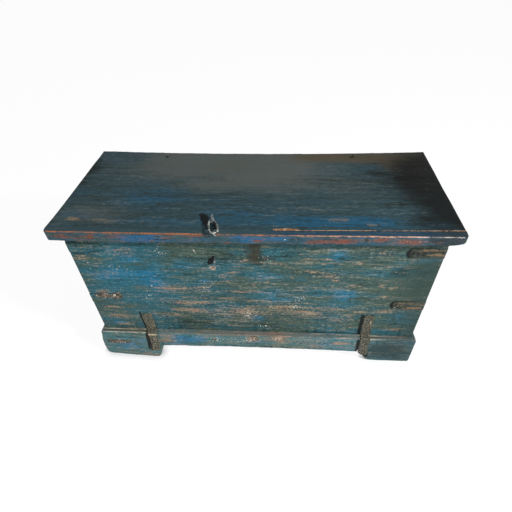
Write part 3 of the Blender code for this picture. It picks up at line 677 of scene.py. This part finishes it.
lid_tones = {"body": (46, 68, 72), "other": (38, 67, 78), "pale": (80, 94, 90), "blue": (16, 80, 110),
             "grime": (30, 38, 36)}
lid_wood = {"tan": (128, 114, 90), "orange": (132, 96, 70), "dull": (86, 84, 72), "cream": (164, 166, 156),
            "dust": (98, 104, 98)}
lid_marks = {
    "blue": [
        (-300, -60, 200, 90, 1.4), (-30, -150, 200, 70, 1.1), (-520, -165, 100, 35, 0.9), (350, -185, 150, 46, 2.4),
        (180, -185, 180, 50, 1.6), (-400, -180, 120, 50, 0.7), (100, -60, 160, 30, 0.5), (-250, -180, 180, 40, 0.5),
        (30, -210, 500, 60, 0.7), (560, -190, 120, 60, 1),
    ],
    "grime": [
        (478, 120, 180, 260, 1.3), (600, -20, 140, 200, 0.9), (0, 275, 700, 50, 0.9), (-600, 40, 60, 300, 1),
        (-560, 120, 80, 120, 0.6), (250, 60, 260, 120, 0.5), (-380, -80, 100, 20, 0.4), (400, -90, 200, 50, 0.8),
        (0, -60, 120, 40, 0.4),
    ],
    "worn": [
        (-516, -190, 45, 16, 1.6), (-425, -203, 80, 10, 1), (-520, -61, 45, 12, 0.8), (134, -123, 190, 16, 0.9),
        (70, -135, 30, 10, 1.2), (261, -177, 55, 18, 1.7), (377, -153, 26, 7, 1.4), (265, -56, 45, 6, 1.1),
        (465, 151, 30, 20, 0.9), (374, 242, 60, 14, 0.9), (-540, 165, 26, 20, 0.9), (-60, -30, 160, 8, 0.6),
        (-330, -130, 100, 8, 0.7), (480, -215, 100, 8, 0.5),
    ],
    "flecks": [(236, -20, 8, 5, 1.8), (500, -150, 80, 30, 0.7), (-430, -60, 120, 40, 0.5)],
    # Painted sheen: pale ovals that stand in for light reflected off the lid.
    "painted_sheen": [
        (-120, 170, 340, 200, 1.3), (-380, 140, 260, 200, 0.6), (120, 140, 260, 200, 0.9), (20, 0, 260, 120, 0.5),
        (-480, -160, 180, 80, 0.8), (-150, 235, 320, 70, 1), (-160, 10, 140, 50, 0.7),
    ],
    "warm": [
        (-70, 150, 260, 110, 0.4), (400, 235, 260, 80, 1.9), (460, 150, 60, 50, 0.8), (180, 230, 140, 70, 1),
        (300, 20, 300, 220, 0.45), (560, 150, 100, 200, 0.8),
    ],
    # Painted shade: ovals that darken the lid toward its ends, most at the right.
    "black": [
        (620, 130, 380, 300, 1.6), (640, -60, 280, 260, 1.1), (280, 50, 280, 200, 0.4), (360, 240, 120, 40, 0.4),
        (-610, 60, 50, 340, 1), (-560, 190, 120, 120, 0.5), (600, 60, 220, 300, 1), (680, 80, 240, 480, 1.3),
        (-600, 120, 100, 140, 0.8), (600, -180, 180, 140, 1.2), (480, -190, 70, 60, 0.9),
    ],
    "ring": [(-436, -109, 40, 34, 1)],
    "knot": [(-528, -186, 34, 14, 1), (-460, -190, 80, 9, 0.7), (-370, -192, 60, 6, 0.5)],
    "curl": [(-522, -184, 18, 8, 1)],
    "chip": [(344, -200, 30, 13, 1)],
    # The first six ovals are the hasp's painted shadow; the last two are the dark marks over the hinge wires.
    "iron": [
        (-140, -173, 17, 22, 1), (-150, -158, 14, 12, 0.8), (-133, -193, 12, 24, 1), (-124, -217, 9, 22, 1),
        (-106, -201, 7, 24, 1), (-101, -222, 6, 16, 0.9), (-342.1, 222, 9, 7, 1.6), (336.5, 227.5, 9, 7, 1.5),
    ],
    "wedge": [(104, -225.5, 56, 9.5, 1.8)],
}


def lid_surface(paint, streak, speckle):
    """Painted sheen at the back, painted shade at the ends, the hasp's painted shadow, hinge marks, two knots, and
    bare wood along the join.
    """
    ripple = streak * 0.9 + speckle * 0.4
    # Painted sheen: a pale grey haze over the back of the lid, standing in for reflected light.
    paint.coat((paint.marks("painted_sheen") + ripple).rise(0.0, 1.1) * 0.7, (88, 91, 85))
    paint.coat((paint.marks("warm") + ripple * 0.5).rise(0.1, 1.1) * 0.8, (80, 68, 48))
    rim = paint.across("Y").rise(0.250, 0.266).higher(paint.across("X").size().rise(0.588, 0.599))
    # Painted shade darkens the lid toward its ends, most at the right end; the lid is also darker along its back edge
    # and end edges.
    paint.coat((paint.marks("black") + rim * 0.6 - ripple * 0.9).rise(0.1, 2.3) * 0.95, (7, 9, 6))
    faint = (paint.marks("ring") - 0.26).size().rise(0.10, 0.02) * (streak + speckle).rise(-0.04, 0.10)
    paint.coat(faint * 0.4, (104, 108, 100))
    paint.coat((paint.marks("knot") + ripple * 1.6).rise(0.15, 0.9) * 0.75, (132, 116, 92))
    curl = (paint.marks("curl") - 0.3).size().rise(0.12, 0.02)
    paint.coat(curl * speckle.rise(-0.1, 0.0) * 0.8, (52, 42, 34))
    chip = paint.marks("chip")
    paint.coat((chip - 0.35).size().rise(0.16, 0.03) * speckle.rise(-0.10, 0.02) * 0.85, (24, 26, 26))
    paint.coat((chip + ripple).rise(0.35, 0.7) * 0.5, (116, 110, 98))
    # Painted shadow of the hasp, nearly black, and the dark marks over the hinge wires.
    paint.coat((paint.marks("iron", True) + ripple * 0.25).rise(0.12, 0.45) * 0.95, (9, 12, 13))
    length = paint.across("X")
    join = paint.across("Y") - (length - join_start).higher(0.0) * join_slope - (lid_low.y + strip_depth - 0.0253)
    open_here = length.rise(join_start - 0.004, join_start + 0.004)
    rubbed = join.rise(0.0040, 0.0012) * open_here * (0.70 + streak * 2.0)
    rubbed = rubbed.higher((paint.marks("wedge") + ripple).rise(0.2, 0.8))
    rubbed_wood = paint.mix((speckle + streak).rise(-0.1, 0.1), (134, 96, 70), (196, 158, 124))
    paint.coat(rubbed.rise(0.3, 0.75) * 0.9, rubbed_wood)


lid_paint = old_paint("lid_paint_painted_sheen", 0, "lid", lid_tones, lid_wood, lid_marks,
                      {"blue": 0.3, "grime": 0.5, "worn": 1.05, "worn_strength": 0.5, "flecks": 0.9,
                       "relief": 0.0003, "texture": 0.55, "rough": 0.5, "size": 1.6, "soft": 1.3,
                       "dust": 0.25}, lid_surface)
lid_underside = bare_board("lid_underside", 0, (104, 78, 54), (62, 46, 33))
piece("lid_plank", lid_plank(), [lid_paint, lid_underside], "lid", ["lid_panel"], -z_way)

strip_tones = {"body": (44, 84, 102), "other": (62, 80, 82), "pale": (92, 110, 110), "blue": (28, 94, 138),
               "grime": (42, 44, 43)}
strip_wood = {"tan": (112, 74, 62), "orange": (140, 72, 50), "dull": (84, 54, 48), "cream": (218, 218, 210),
              "dust": (112, 96, 88)}
strip_marks = {
    "blue": [
        (-322, 570, 120, 20, 1.2), (-301, 571, 40, 14, 1), (-8, 571, 70, 18, 1.4), (80, 574, 70, 14, 1.2),
        (-130, 566, 80, 12, 0.8), (330, 580, 40, 12, 0.6),
    ],
    "grime": [(560, 572, 110, 40, 1.8), (0, 558, 700, 6, 0.8), (-400, 562, 60, 10, 0.6), (320, 572, 220, 20, 0.5)],
    "worn": [
        (-553, 575, 40, 12, 1.3), (-490, 570, 60, 14, 0.8), (-461, 574, 15, 13, 3.2), (-238, 586, 40, 7, 1.5),
        (-237, 572, 22, 4, 1.6), (-157, 582, 40, 9, 1.2), (-69, 558, 14, 6, 1.8), (23, 565, 16, 7, 1.8),
        (180, 568, 36, 12, 1.3), (240, 568, 70, 13, 1.7), (366, 573, 30, 12, 1.2), (452, 572, 44, 13, 1.5),
        (520, 568, 30, 10, 0.8), (340, 572, 200, 14, 0.5), (-400, 576, 50, 10, 1),
    ],
    "flecks": [(102, 575, 7, 6, 1.9), (131, 575, 7, 6, 1.9), (440, 575, 80, 10, 0.5)],
}


def strip_surface(paint, streak, speckle):
    """The lid's own colour on top, darker toward the right end as painted shade, and bare wood on the front arris that
    pales toward its right end into a painted highlight.
    """
    depth = paint.across("Y") - strip_low.y
    length = paint.across("X")
    down = strip_high.z - paint.across("Z") - (1 - length * length * lid_high.x ** -2) * strip_dish
    above = paint.mix(length.rise(0.0, 0.12), (46, 68, 74), (30, 60, 80))
    above = paint.mix((streak + speckle * 0.5).rise(0.0, 0.12) * 0.5, above, (72, 86, 86))
    # Painted shade: the top darker toward the right end.
    above = paint.mix(length.rise(0.42, 0.58) * 0.7, above, (34, 38, 36))
    paint.coat(down.rise(0.0044, 0.0020), above)
    reach = (depth + down + streak * 0.004).rise(0.0044, 0.0030)
    breaks = (streak + speckle * 0.6).rise(-0.20, 0.02) * (length + 0.115).size().rise(0.012, 0.030)
    # Bare wood along the arris, paling into a painted highlight, nearly white, toward the right end.
    bright = paint.mix(length.rise(-0.05, 0.45), (164, 102, 68), (206, 156, 130))
    bright = paint.mix(length.rise(0.40, 0.58), bright, (224, 214, 204))
    paint.coat(reach * breaks * 0.92, bright)
    seam = (depth - strip_depth - (length - join_start).higher(0.0) * join_slope + 0.0028).rise(0.0, 0.0018)
    paint.coat(seam * length.rise(join_start - 0.004, join_start + 0.004) * down.rise(0.006, 0.003) * 0.6,
               (20, 22, 22))


strip_paint = old_paint("strip_paint_worn", 0, "front", strip_tones, strip_wood, strip_marks,
                        {"blue": 0.35, "grime": 0.42, "worn": 0.62, "worn_strength": 0.9, "flecks": 0.80,
                         "dust": 0.2}, strip_surface)
piece("lid_front_strip", front_strip(), [strip_paint, lid_underside], "lid", ["lid_nosing"],
      -z_way)


# Straps: sheet iron cut with shears and hammered round the corners while hot,
# then painted over with the boards. The paint has flaked to brown iron, and
# the edges stand a little proud, so they throw a thin shadow, which is also
# painted in black along their left edges and round their ends.

def sheet_strap(name, node, path, outward, across, half_width, round_ends, materials, thick, toe=0.0,
                snip=0.0):
    """A hammered strap along a path of points, each with its own outward direction."""
    lengths = [0.0]
    for before, after in zip(path, path[1:]):
        lengths.append(lengths[-1] + (after - before).length)
    total = lengths[-1]
    steps = max(24, round(total / 0.004))
    shape = bmesh.new()
    bmesh.ops.create_grid(shape, x_segments=steps, y_segments=8, size=0.5)
    low_seed = Vector((len(name), total * 90, half_width * 800))
    for corner in shape.verts:
        side = corner.co.y * 2
        run = (corner.co.x + 0.5) * (total - snip * max(0.0, -side - 0.2))
        spot = max(place for place, reach in enumerate(lengths[:-1]) if reach <= run + 1e-9)
        share = (run - lengths[spot]) / (lengths[spot + 1] - lengths[spot])
        middle = path[spot].lerp(path[spot + 1], share)
        out = outward[spot].lerp(outward[spot + 1], share).normalized()
        ragged = 1 + 0.07 * noise.noise(low_seed + Vector((run * 60, side * 2, 0)))
        ending = 1.0
        for end, radius in ((run, round_ends[0]), (total - run, round_ends[1])):
            if radius and end < radius:
                ending = min(ending, 0.25 + 0.75 * math.sqrt(max(0.0, 1 - (1 - end / radius) ** 2)))
        lift = thick * (0.3 * max(0.0, noise.noise(low_seed + Vector((run * 35, side * 1.5, 4)))) + 0.2 * side * side)
        corner.co = middle + across * side * half_width * ragged * ending + out * (thick + lift)
    bmesh.ops.recalc_face_normals(shape, faces=shape.faces)
    if shape.faces[:][0].normal.dot(outward[0]) < 0:
        bmesh.ops.reverse_faces(shape, faces=shape.faces)
    bmesh.ops.solidify(shape, geom=shape.faces[:], thickness=thick)
    toe_out(shape, toe)
    # A second material goes on the faces turned to the left; for the foot straps that is painted shade.
    return piece(name, shape, materials, "case", [node], -x_way if len(materials) > 1 else None)


def rusted_paint(name, paint_colour, worn_share, marks=None):
    """Thin paint over brown iron, flaked in patches and pitted, with pale scuffs, painted shade and painted shadow
    along edges.
    """
    iron = Finish(name, 0.25, "front", marks)
    flakes = iron.cloud((70, 70, 70), 5.0, 0.65)
    pits = iron.cloud((200, 200, 200), 3.0, 0.7)
    rust = iron.cloud((150, 150, 150), 4.0, 0.7, None, (5, 1, 8))
    iron.colour = (56, 54, 45)
    iron.coat(rust.rise(0.38, 0.62), (100, 96, 80))
    left = flakes.rise(worn_share, worn_share + 0.08)
    iron.coat(left * 0.8, paint_colour)
    iron.coat(pits.rise(0.52, 0.64), (150, 146, 128))
    iron.coat(pits.rise(0.46, 0.34) * 0.85, (24, 25, 23))
    if marks:
        # Painted shade: the right foot strap darkened.
        iron.coat(iron.marks("painted_shade").rise(0.0, 0.5) * 0.3, (38, 38, 34))
        iron.coat((iron.marks("scuffs") + (pits - 0.5) * 1.2).rise(0.2, 0.6) * 0.9, (190, 174, 146))
        # Painted shadow: black along the left edge of the left foot strap.
        iron.coat((iron.marks("edges") + (pits - 0.5) * 0.5).rise(0.10, 0.32) * 0.9, (15, 16, 15))
    return iron.done(0.5 + rust * 0.3, flakes * 0.3 + pits * 0.7 + left * 0.4, 0.0014)


def strap_tip_shadows(paint, streak, speckle):
    """Painted shadow: a black line round the left side of the straps' round ends, where the sheet stands off the
    board.
    """
    for node in ("strap_upper_right", "strap_lower_right"):
        low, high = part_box(node)
        radius = (high.z - low.z) / 2
        end = paint.across("X").rise(low.x + radius * 0.8, low.x + radius * 0.3)
        # Painted shadow at the left of each round end.
        paint.coat(paint.marks(node, True).rise(0.30, 0.16) * end * 0.95, (18, 20, 19))


strap_tones = {"body": (46, 60, 56), "other": (58, 60, 50), "pale": (88, 90, 76), "blue": (44, 66, 68),
               "grime": (32, 36, 33)}
strap_wood = {"tan": (140, 112, 84), "orange": (140, 92, 66), "dull": (88, 76, 62), "cream": (200, 194, 176),
              "dust": (86, 84, 70)}
strap_marks = {
    "blue": [(480, 270, 50, 20, 0.5)],
    "grime": [(470, 516, 40, 30, 0.6), (560, 516, 40, 30, 0.8), (440, 270, 40, 30, 0.6)],
    "worn": [
        (528, 520, 36, 8, 1.9), (545, 506, 36, 7, 1.7), (500, 512, 20, 7, 1), (530, 274, 50, 8, 1.8),
        (510, 262, 40, 6, 1.3),
    ],
    "flecks": [(480, 510, 30, 18, 0.6), (470, 270, 30, 20, 1.3)],
    "scuffs": [(-383, 120, 30, 5.5, 1.5), (-376, 148, 5, 12, 0.7), (408, 198, 5, 18, 0.6)],
    # Painted shade darkening the right foot strap.
    "painted_shade": [(400, 130, 60, 160, 1)],
    # Painted shadow along the left edge of the left foot strap.
    "edges": [(-402.5, 90, 9, 50, 1.2), (-400, 60, 7, 40, 0.9)],
}
for node in ("strap_upper_right", "strap_lower_right"):
    low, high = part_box(node)
    radius = (high.z - low.z) / 2 * 1000
    strap_marks[node] = [(low.x * 1000 + radius, low.z * 1000 + radius, radius * 1.25, radius * 1.25, 1)]
strap_paint = old_paint("strap_paint", 0, "front", strap_tones, strap_wood, strap_marks,
                        {"blue": 0.5, "grime": 0.1, "worn": 0.75, "worn_strength": 0.9, "flecks": 0.79,
                         "relief": 0.0016, "texture": 0.9}, strap_tip_shadows)
strap_iron = rusted_paint("strap_iron", (62, 80, 78), 0.54, strap_marks)
front_low, front_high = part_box("front_wall")
let_in = 0.0004
corner_bend = 0.0024


def corner_strap(name, node, side, material):
    low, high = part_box(node)
    middle_z = (low.z + high.z) / 2
    wall_x = side * front_high.x
    wall_y = front_low.y
    tip_x = low.x if side > 0 else high.x
    points = [Vector((tip_x, wall_y - let_in, middle_z))]
    outs = [-y_way]
    for step in range(7):
        turn = math.radians(90) * step / 6
        out = -y_way * math.cos(turn) + x_way * side * math.sin(turn)
        middle = Vector((wall_x - side * corner_bend, wall_y + corner_bend, middle_z))
        points.append(middle + out * corner_bend)
        outs.append(out)
    points.append(Vector((wall_x, high.y, middle_z)))
    outs.append(x_way * side)
    half_width = (high.z - low.z) / 2
    return sheet_strap(name, node, points, outs, z_way, half_width, (half_width, half_width), [material],
                       0.0008)


for corner_name, side in (("upper_right", 1), ("lower_right", 1), ("upper_left", -1), ("lower_left", -1)):
    corner_strap("strap_sheet_" + corner_name, "strap_" + corner_name, side, strap_paint if side > 0 else front_paint)
# Near-black finish for the foot straps' left side faces: painted shade.
strap_shadow = rusted_paint("strap_shadow", (20, 20, 18), 0.30)


def foot_strap(name, node, lean, toe, snip):
    """A strap down the wall, over the moulded edge and onto the foot. Its top leans outward."""
    low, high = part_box(node)
    middle_x = (low.x + high.x) / 2
    out = -y_way
    slant = (z_way - y_way).normalized()
    face = low.y + 0.0020
    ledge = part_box("foot_front_left")[1].z
    wall = front_low.y - let_in
    run = ((high.z, wall, out), (ledge + 0.0035, wall, (out + slant).normalized()),
           (ledge + 0.0006, front_low.y - 0.0030, slant), (ledge + 0.0006, face + 0.0040, slant),
           (ledge - 0.0020, face + 0.0008, (out + slant).normalized()), (ledge - 0.0060, face, out),
           (low.z, face, out))
    points = [Vector((middle_x + lean * (z - low.z) / (high.z - low.z), y, z)) for z, y, way in run]
    half_width = (high.x - low.x) / 2
    return sheet_strap(name, node, points, [way for z, y, way in run], x_way, half_width,
                       (half_width * 0.3, 0.0), [strap_iron, strap_shadow], 0.0032, toe, snip)


foot_strap("strap_sheet_foot_left", "foot_strap_left", -0.009, 0.0150, 0.0)
foot_strap("strap_sheet_foot_right", "foot_strap_right", 0.0, 0.0, 0.018)


# Nails: forged, with low uneven heads, driven through the straps and into the
# boards and feet behind. Two more hold the strip to the front of the lid.

def nail_head(name, node, outward, body, material, size=0.0056, rise=0.0026, toe=0.0):
    low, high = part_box(node)
    centre = (low + high) / 2
    sunk = 0.0016
    for axis in range(3):
        if outward[axis] < 0:
            centre[axis] = low[axis] + sunk
        elif outward[axis] > 0:
            centre[axis] = high[axis] - sunk
    shape = bmesh.new()
    bmesh.ops.create_uvsphere(shape, u_segments=14, v_segments=8, radius=1)
    bmesh.ops.bisect_plane(shape, geom=shape.verts[:] + shape.edges[:] + shape.faces[:], plane_co=(0, 0, -0.35),
                           plane_no=(0, 0, -1), clear_outer=True)
    bmesh.ops.holes_fill(shape, edges=shape.edges)
    bmesh.ops.scale(shape, vec=(size, size, rise), verts=shape.verts)
    for corner in shape.verts:
        corner.co *= 1 + 0.16 * noise.noise(corner.co * 300 + centre * 50)
    turn = outward.to_track_quat("Z", "Y").to_matrix().to_4x4()
    shape.transform(Matrix.Translation(centre) @ turn)
    toe_out(shape, toe)
    return piece(name, shape, [material], body, [node])


for corner_name, side in (("upper_right", 1), ("lower_right", 1), ("upper_left", -1), ("lower_left", -1)):
    for end_name, outward in (("front", -y_way), ("end", x_way * side)):
        nail_head("nail_%s_%s" % (corner_name, end_name), "strap_%s_nail_%s" % (corner_name, end_name), outward,
                  "case", strap_paint if side > 0 else front_paint)
for side_name in ("left", "right"):
    for number in (1, 2, 3):
        nail_head("nail_foot_%s_%d" % (side_name, number), "foot_strap_%s_nail_%d" % (side_name, number), -y_way,
                  "case", strap_iron, 0.0056, 0.0026, 0.0150 if side_name == "left" else 0.0)


def dark_iron(name, bright):
    """Handled forged iron: nearly black in the hollows and bright where it rubs."""
    iron = Finish(name, 0.5)
    hammer = iron.cloud((160, 160, 160), 3.0, 0.5)
    pits = iron.cloud((700, 700, 700), 3.0, 0.6)
    rubbed = (hammer + (pits - 0.5) * 0.3).rise(0.42, 0.60)
    iron.colour = (48, 48, 46)
    iron.coat(rubbed, bright)
    iron.coat(pits.rise(0.62, 0.70) * 0.4, (96, 66, 46))
    return iron.done(0.52 - rubbed * 0.16, hammer * 0.8 + pits * 0.3, 0.0006, 0.25 + rubbed * 0.3)


hasp_iron = dark_iron("hasp_iron", (202, 206, 200))
ring_iron = dark_iron("ring_iron", (140, 156, 162))
hinge_iron = dark_iron("hinge_iron", (74, 74, 68))
nail_head("nail_strip_left", "nosing_nail_left", -y_way, "lid", strip_paint, 0.0046, 0.0014)
nail_head("nail_strip_right", "nosing_nail_right", -y_way, "lid", hinge_iron, 0.0050, 0.0018)


# Hinges: soft iron wire bent into two linked loops. One pair of ends is
# clenched inside the back board and the other is bent over on top of the lid
# and painted in.

def drawn_wire(points, radius, closed=False):
    """A round wire pushed along the points, hammered a little uneven."""
    sides = 10
    uneven = 0.08
    count = len(points)
    shape = bmesh.new()

    def way(place):
        if closed:
            return (points[(place + 1) % count] - points[place - 1]).normalized()
        return (points[min(place + 1, count - 1)] - points[max(place - 1, 0)]).normalized()

    ring = bmesh.ops.create_circle(shape, cap_ends=not closed, segments=sides, radius=radius)["verts"]
    heading = way(0)
    bmesh.ops.transform(shape, matrix=Matrix.Translation(points[0])
                        @ z_way.rotation_difference(heading).to_matrix().to_4x4(), verts=ring)
    first = edges = shape.edges[:]
    for place in range(1, count):
        grown = bmesh.ops.extrude_edge_only(shape, edges=edges)["geom"]
        ring = [item for item in grown if isinstance(item, bmesh.types.BMVert)]
        edges = [item for item in grown if isinstance(item, bmesh.types.BMEdge)
                 and all(corner in ring for corner in item.verts)]
        turned = heading.rotation_difference(way(place)).to_matrix().to_4x4()
        heading = way(place)
        bmesh.ops.transform(shape, matrix=Matrix.Translation(points[place]) @ turned
                            @ Matrix.Translation(-points[place - 1]), verts=ring)
    if closed:
        bmesh.ops.bridge_loops(shape, edges=edges + first)
    else:
        bmesh.ops.holes_fill(shape, edges=edges)
    bmesh.ops.recalc_face_normals(shape, faces=shape.faces)
    shape.normal_update()
    for corner in shape.verts:
        lump = noise.noise(corner.co * 260) + 0.6 * noise.noise(corner.co * 90)
        corner.co -= corner.normal * radius * uneven * (1 + lump)
    return shape


def bend_round(centre, start, end, steps=8):
    return [centre + start * math.cos(math.pi / 2 * step / steps) + end * math.sin(math.pi / 2 * step / steps)
            for step in range(steps + 1)]


joints = {joint["name"]: joint for joint in frame["joints"]}
hinge_pin = Vector(joints["lid_hinge"]["pos_m"])
hinge_wire = 0.002
clench_paint = rusted_paint("clench_paint", (58, 64, 60), 0.42)
for side_name, side in (("left", -1), ("right", 1)):
    repaint("hinge_wall_loop_" + side_name, hinge_iron)
    low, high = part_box("hinge_lid_loop_" + side_name)
    middle = Vector(((low.x + high.x) / 2, hinge_pin.y, hinge_pin.z))
    surface = lid_high.z - back_dish * long_bow(middle.x)
    loop = (high.y - low.y) / 2 - hinge_wire
    lower = bend_round(middle, y_way * -loop, z_way * -loop) + bend_round(middle, z_way * -loop, y_way * loop)[1:]
    ends = []
    for way in (-1, 1):
        knee = Vector((middle.x, middle.y + way * loop, surface - 0.0012))
        ends.append(bend_round(knee + x_way * way * 0.003, x_way * way * -0.003, z_way * 0.003, 4)
                    + [knee + x_way * way * 0.005 - y_way * 0.004 + z_way * 0.0026,
                       knee + x_way * way * 0.007 - y_way * (0.010 + way * 0.004) + z_way * 0.0020])
    wire_points = ends[0][::-1] + lower + ends[1]
    piece("hinge_loop_" + side_name, drawn_wire(wire_points, hinge_wire), [clench_paint], "lid",
          ["hinge_lid_loop_" + side_name])


# Hasp: a staple driven slantwise through the lid's front arris, a long link
# that lies back on the lid and a ring that stands on edge at its end. A
# padlock would join the ring to a second staple below, in the front board,
# but none is drawn.

hasp_pin = Vector(joints["hasp_hinge"]["pos_m"])
ring_pin = Vector(joints["ring_hinge"]["pos_m"])
pin_way = Vector(joints["hasp_hinge"]["axis"]).normalized()


def driven_staple(name, node, centre, side, outward, half_width, radius, legs, body, iron):
    crown = bend_round(centre, side * half_width, outward * half_width)
    crown += bend_round(centre, outward * half_width, side * -half_width)[1:]
    points = [crown[0] - outward * legs] + crown + [crown[-1] - outward * legs]
    return piece(name, drawn_wire(points, radius), [iron], body, [node])


driven_staple("hasp_staple", "lid_staple", hasp_pin, (y_way + z_way).normalized(), (z_way - y_way).normalized(),
              0.0047, 0.0020, 0.030, "lid", hasp_iron)
wall_low, wall_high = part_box("wall_staple")
staple_half = (wall_high.z - wall_low.z) / 2 - 0.0025
driven_staple("front_staple", "wall_staple",
              Vector(((wall_low.x + wall_high.x) / 2, wall_low.y + 0.0025 + staple_half,
                      (wall_low.z + wall_high.z) / 2)),
              z_way, -y_way, staple_half, 0.0025, 0.028, "case", ring_iron)

reach = ring_pin - hasp_pin
link_half = pin_way * 0.0120
link_shares = ((0.0, 0.0), (0.012, 0.36), (0.045, 0.66), (0.095, 0.87), (0.16, 0.98), (0.26, 1.0), (0.37, 1.0),
               (0.48, 0.98), (0.57, 0.95), (0.66, 0.90), (0.80, 0.76), (0.90, 0.57), (0.96, 0.38), (0.99, 0.19),
               (1.0, 0.0))
right_side = [hasp_pin + reach * run + link_half * across for run, across in link_shares]
left_side = [hasp_pin + reach * run - link_half * across for run, across in link_shares[1:-1]]
piece("hasp_long_link", drawn_wire(right_side + left_side[::-1], 0.0032, True), [hasp_iron], "chain_link",
      ["hasp_link"])

ring_way = (reach - z_way * reach.z).normalized()
ring_way.rotate(Matrix.Rotation(math.radians(-16), 3, "Z"))
ring_end = ring_pin + ring_way * 0.011
ring_half = 0.0086
ring_points = bend_round(ring_pin, z_way * ring_half, -ring_way * ring_half)
ring_points += bend_round(ring_pin, -ring_way * ring_half, -z_way * ring_half)[1:]
ring_points += bend_round(ring_end, -z_way * ring_half, ring_way * ring_half)
ring_points += bend_round(ring_end, ring_way * ring_half, z_way * ring_half)[1:]
piece("hasp_end_ring", drawn_wire(ring_points, 0.0030, True), [ring_iron], "chain_ring", ["hasp_ring"])


# Studio: a pale floor that the camera sees as plain white, but for the thin
# shadow where the feet meet it, an even sky, one hard lamp from the right that
# throws the straps' and the hasp's shadows to the left, and a soft one in
# front. The camera stands before the trunk's middle and looks down on its lid.

floor_mesh = bmesh.new()
bmesh.ops.create_grid(floor_mesh, x_segments=1, y_segments=1, size=30)
floor_data = bpy.data.meshes.new("studio_floor")
floor_mesh.to_mesh(floor_data)
floor_mesh.free()
studio_floor = bpy.data.objects.new("studio_floor", floor_data)
bpy.context.scene.collection.objects.link(studio_floor)

floor_paint = Finish("studio_floor", 0.1)
floor_paint.shader.inputs["Base Color"].default_value = (0.92, 0.92, 0.92, 1)
floor_paint.shader.inputs["Roughness"].default_value = 0.9
seen = floor_paint.node("ShaderNodeLightPath", {}, {}, "Is Camera Ray")
shadow_reach = 0.028
shadow_slope, shadow_start = 1.7, -0.79
open_sky = floor_paint.node("ShaderNodeAmbientOcclusion", {"samples": 12}, {"Distance": shadow_reach}, "AO")
contact = floor_paint.node("ShaderNodeMath", {"operation": "MULTIPLY_ADD", "use_clamp": True},
                           {0: open_sky, 1: shadow_slope, 2: shadow_start})
glow = floor_paint.node("ShaderNodeEmission", {}, {"Color": (1, 1, 1, 1), "Strength": 1.03})
matt = Amount(floor_paint, floor_paint.shader.outputs[0])
shown = floor_paint.node("ShaderNodeMixShader", {}, {0: seen * contact, 1: matt, 2: glow})
floor_paint.tree.links.new(shown.socket, floor_paint.tree.nodes["Material Output"].inputs["Surface"])
floor_data.materials.append(floor_paint.material)

sky = bpy.data.worlds.new("studio_sky")
sky.use_nodes = True
bpy.context.scene.world = sky
tree = sky.node_tree
soft = tree.nodes["Background"]
soft.inputs["Color"].default_value = (0.96, 0.98, 1.0, 1)
soft.inputs["Strength"].default_value = 0.42
white = tree.nodes.new("ShaderNodeBackground")
white.inputs["Color"].default_value = (1, 1, 1, 1)
white.inputs["Strength"].default_value = 1.0
seen = tree.nodes.new("ShaderNodeLightPath")
blend = tree.nodes.new("ShaderNodeMixShader")
tree.links.new(seen.outputs["Is Camera Ray"], blend.inputs[0])
tree.links.new(soft.outputs[0], blend.inputs[1])
tree.links.new(white.outputs[0], blend.inputs[2])
tree.links.new(blend.outputs[0], tree.nodes["World Output"].inputs["Surface"])


def lamp(name, place, target, size, power):
    light = bpy.data.lights.new(name, "AREA")
    light.shape = "DISK"
    light.size = size
    light.energy = power
    made = bpy.data.objects.new(name, light)
    made.location = place
    made.rotation_euler = (Vector(target) - Vector(place)).to_track_quat("-Z", "Y").to_euler()
    bpy.context.scene.collection.objects.link(made)


lamp("lamp_right", (2.6, -1.6, 2.3), (0, 0, 0.4), 0.35, 125)
lamp("lamp_front", (-0.9, -3.2, 2.0), (0, 0, 0.3), 2.2, 16)

photo_side = 512
focal_length = 381.713
middle_across, middle_down = 259.03, 293.7
lens = bpy.data.cameras.new("photo_camera")
lens.sensor_width = 36
lens.lens = focal_length / photo_side * lens.sensor_width
lens.shift_x = (photo_side / 2 - middle_across) / photo_side
lens.shift_y = (middle_down - photo_side / 2) / photo_side
lens.clip_start = 0.05
lens.clip_end = 100
eye = bpy.data.objects.new("photo_camera", lens)
eye.location = (0.0899, -1.1147, 1.2272)
eye.rotation_euler = (math.radians(44.8043), math.radians(1.321), math.radians(3.229))
bpy.context.scene.collection.objects.link(eye)
bpy.context.scene.camera = eye
bpy.context.scene.view_settings.view_transform = "Standard"
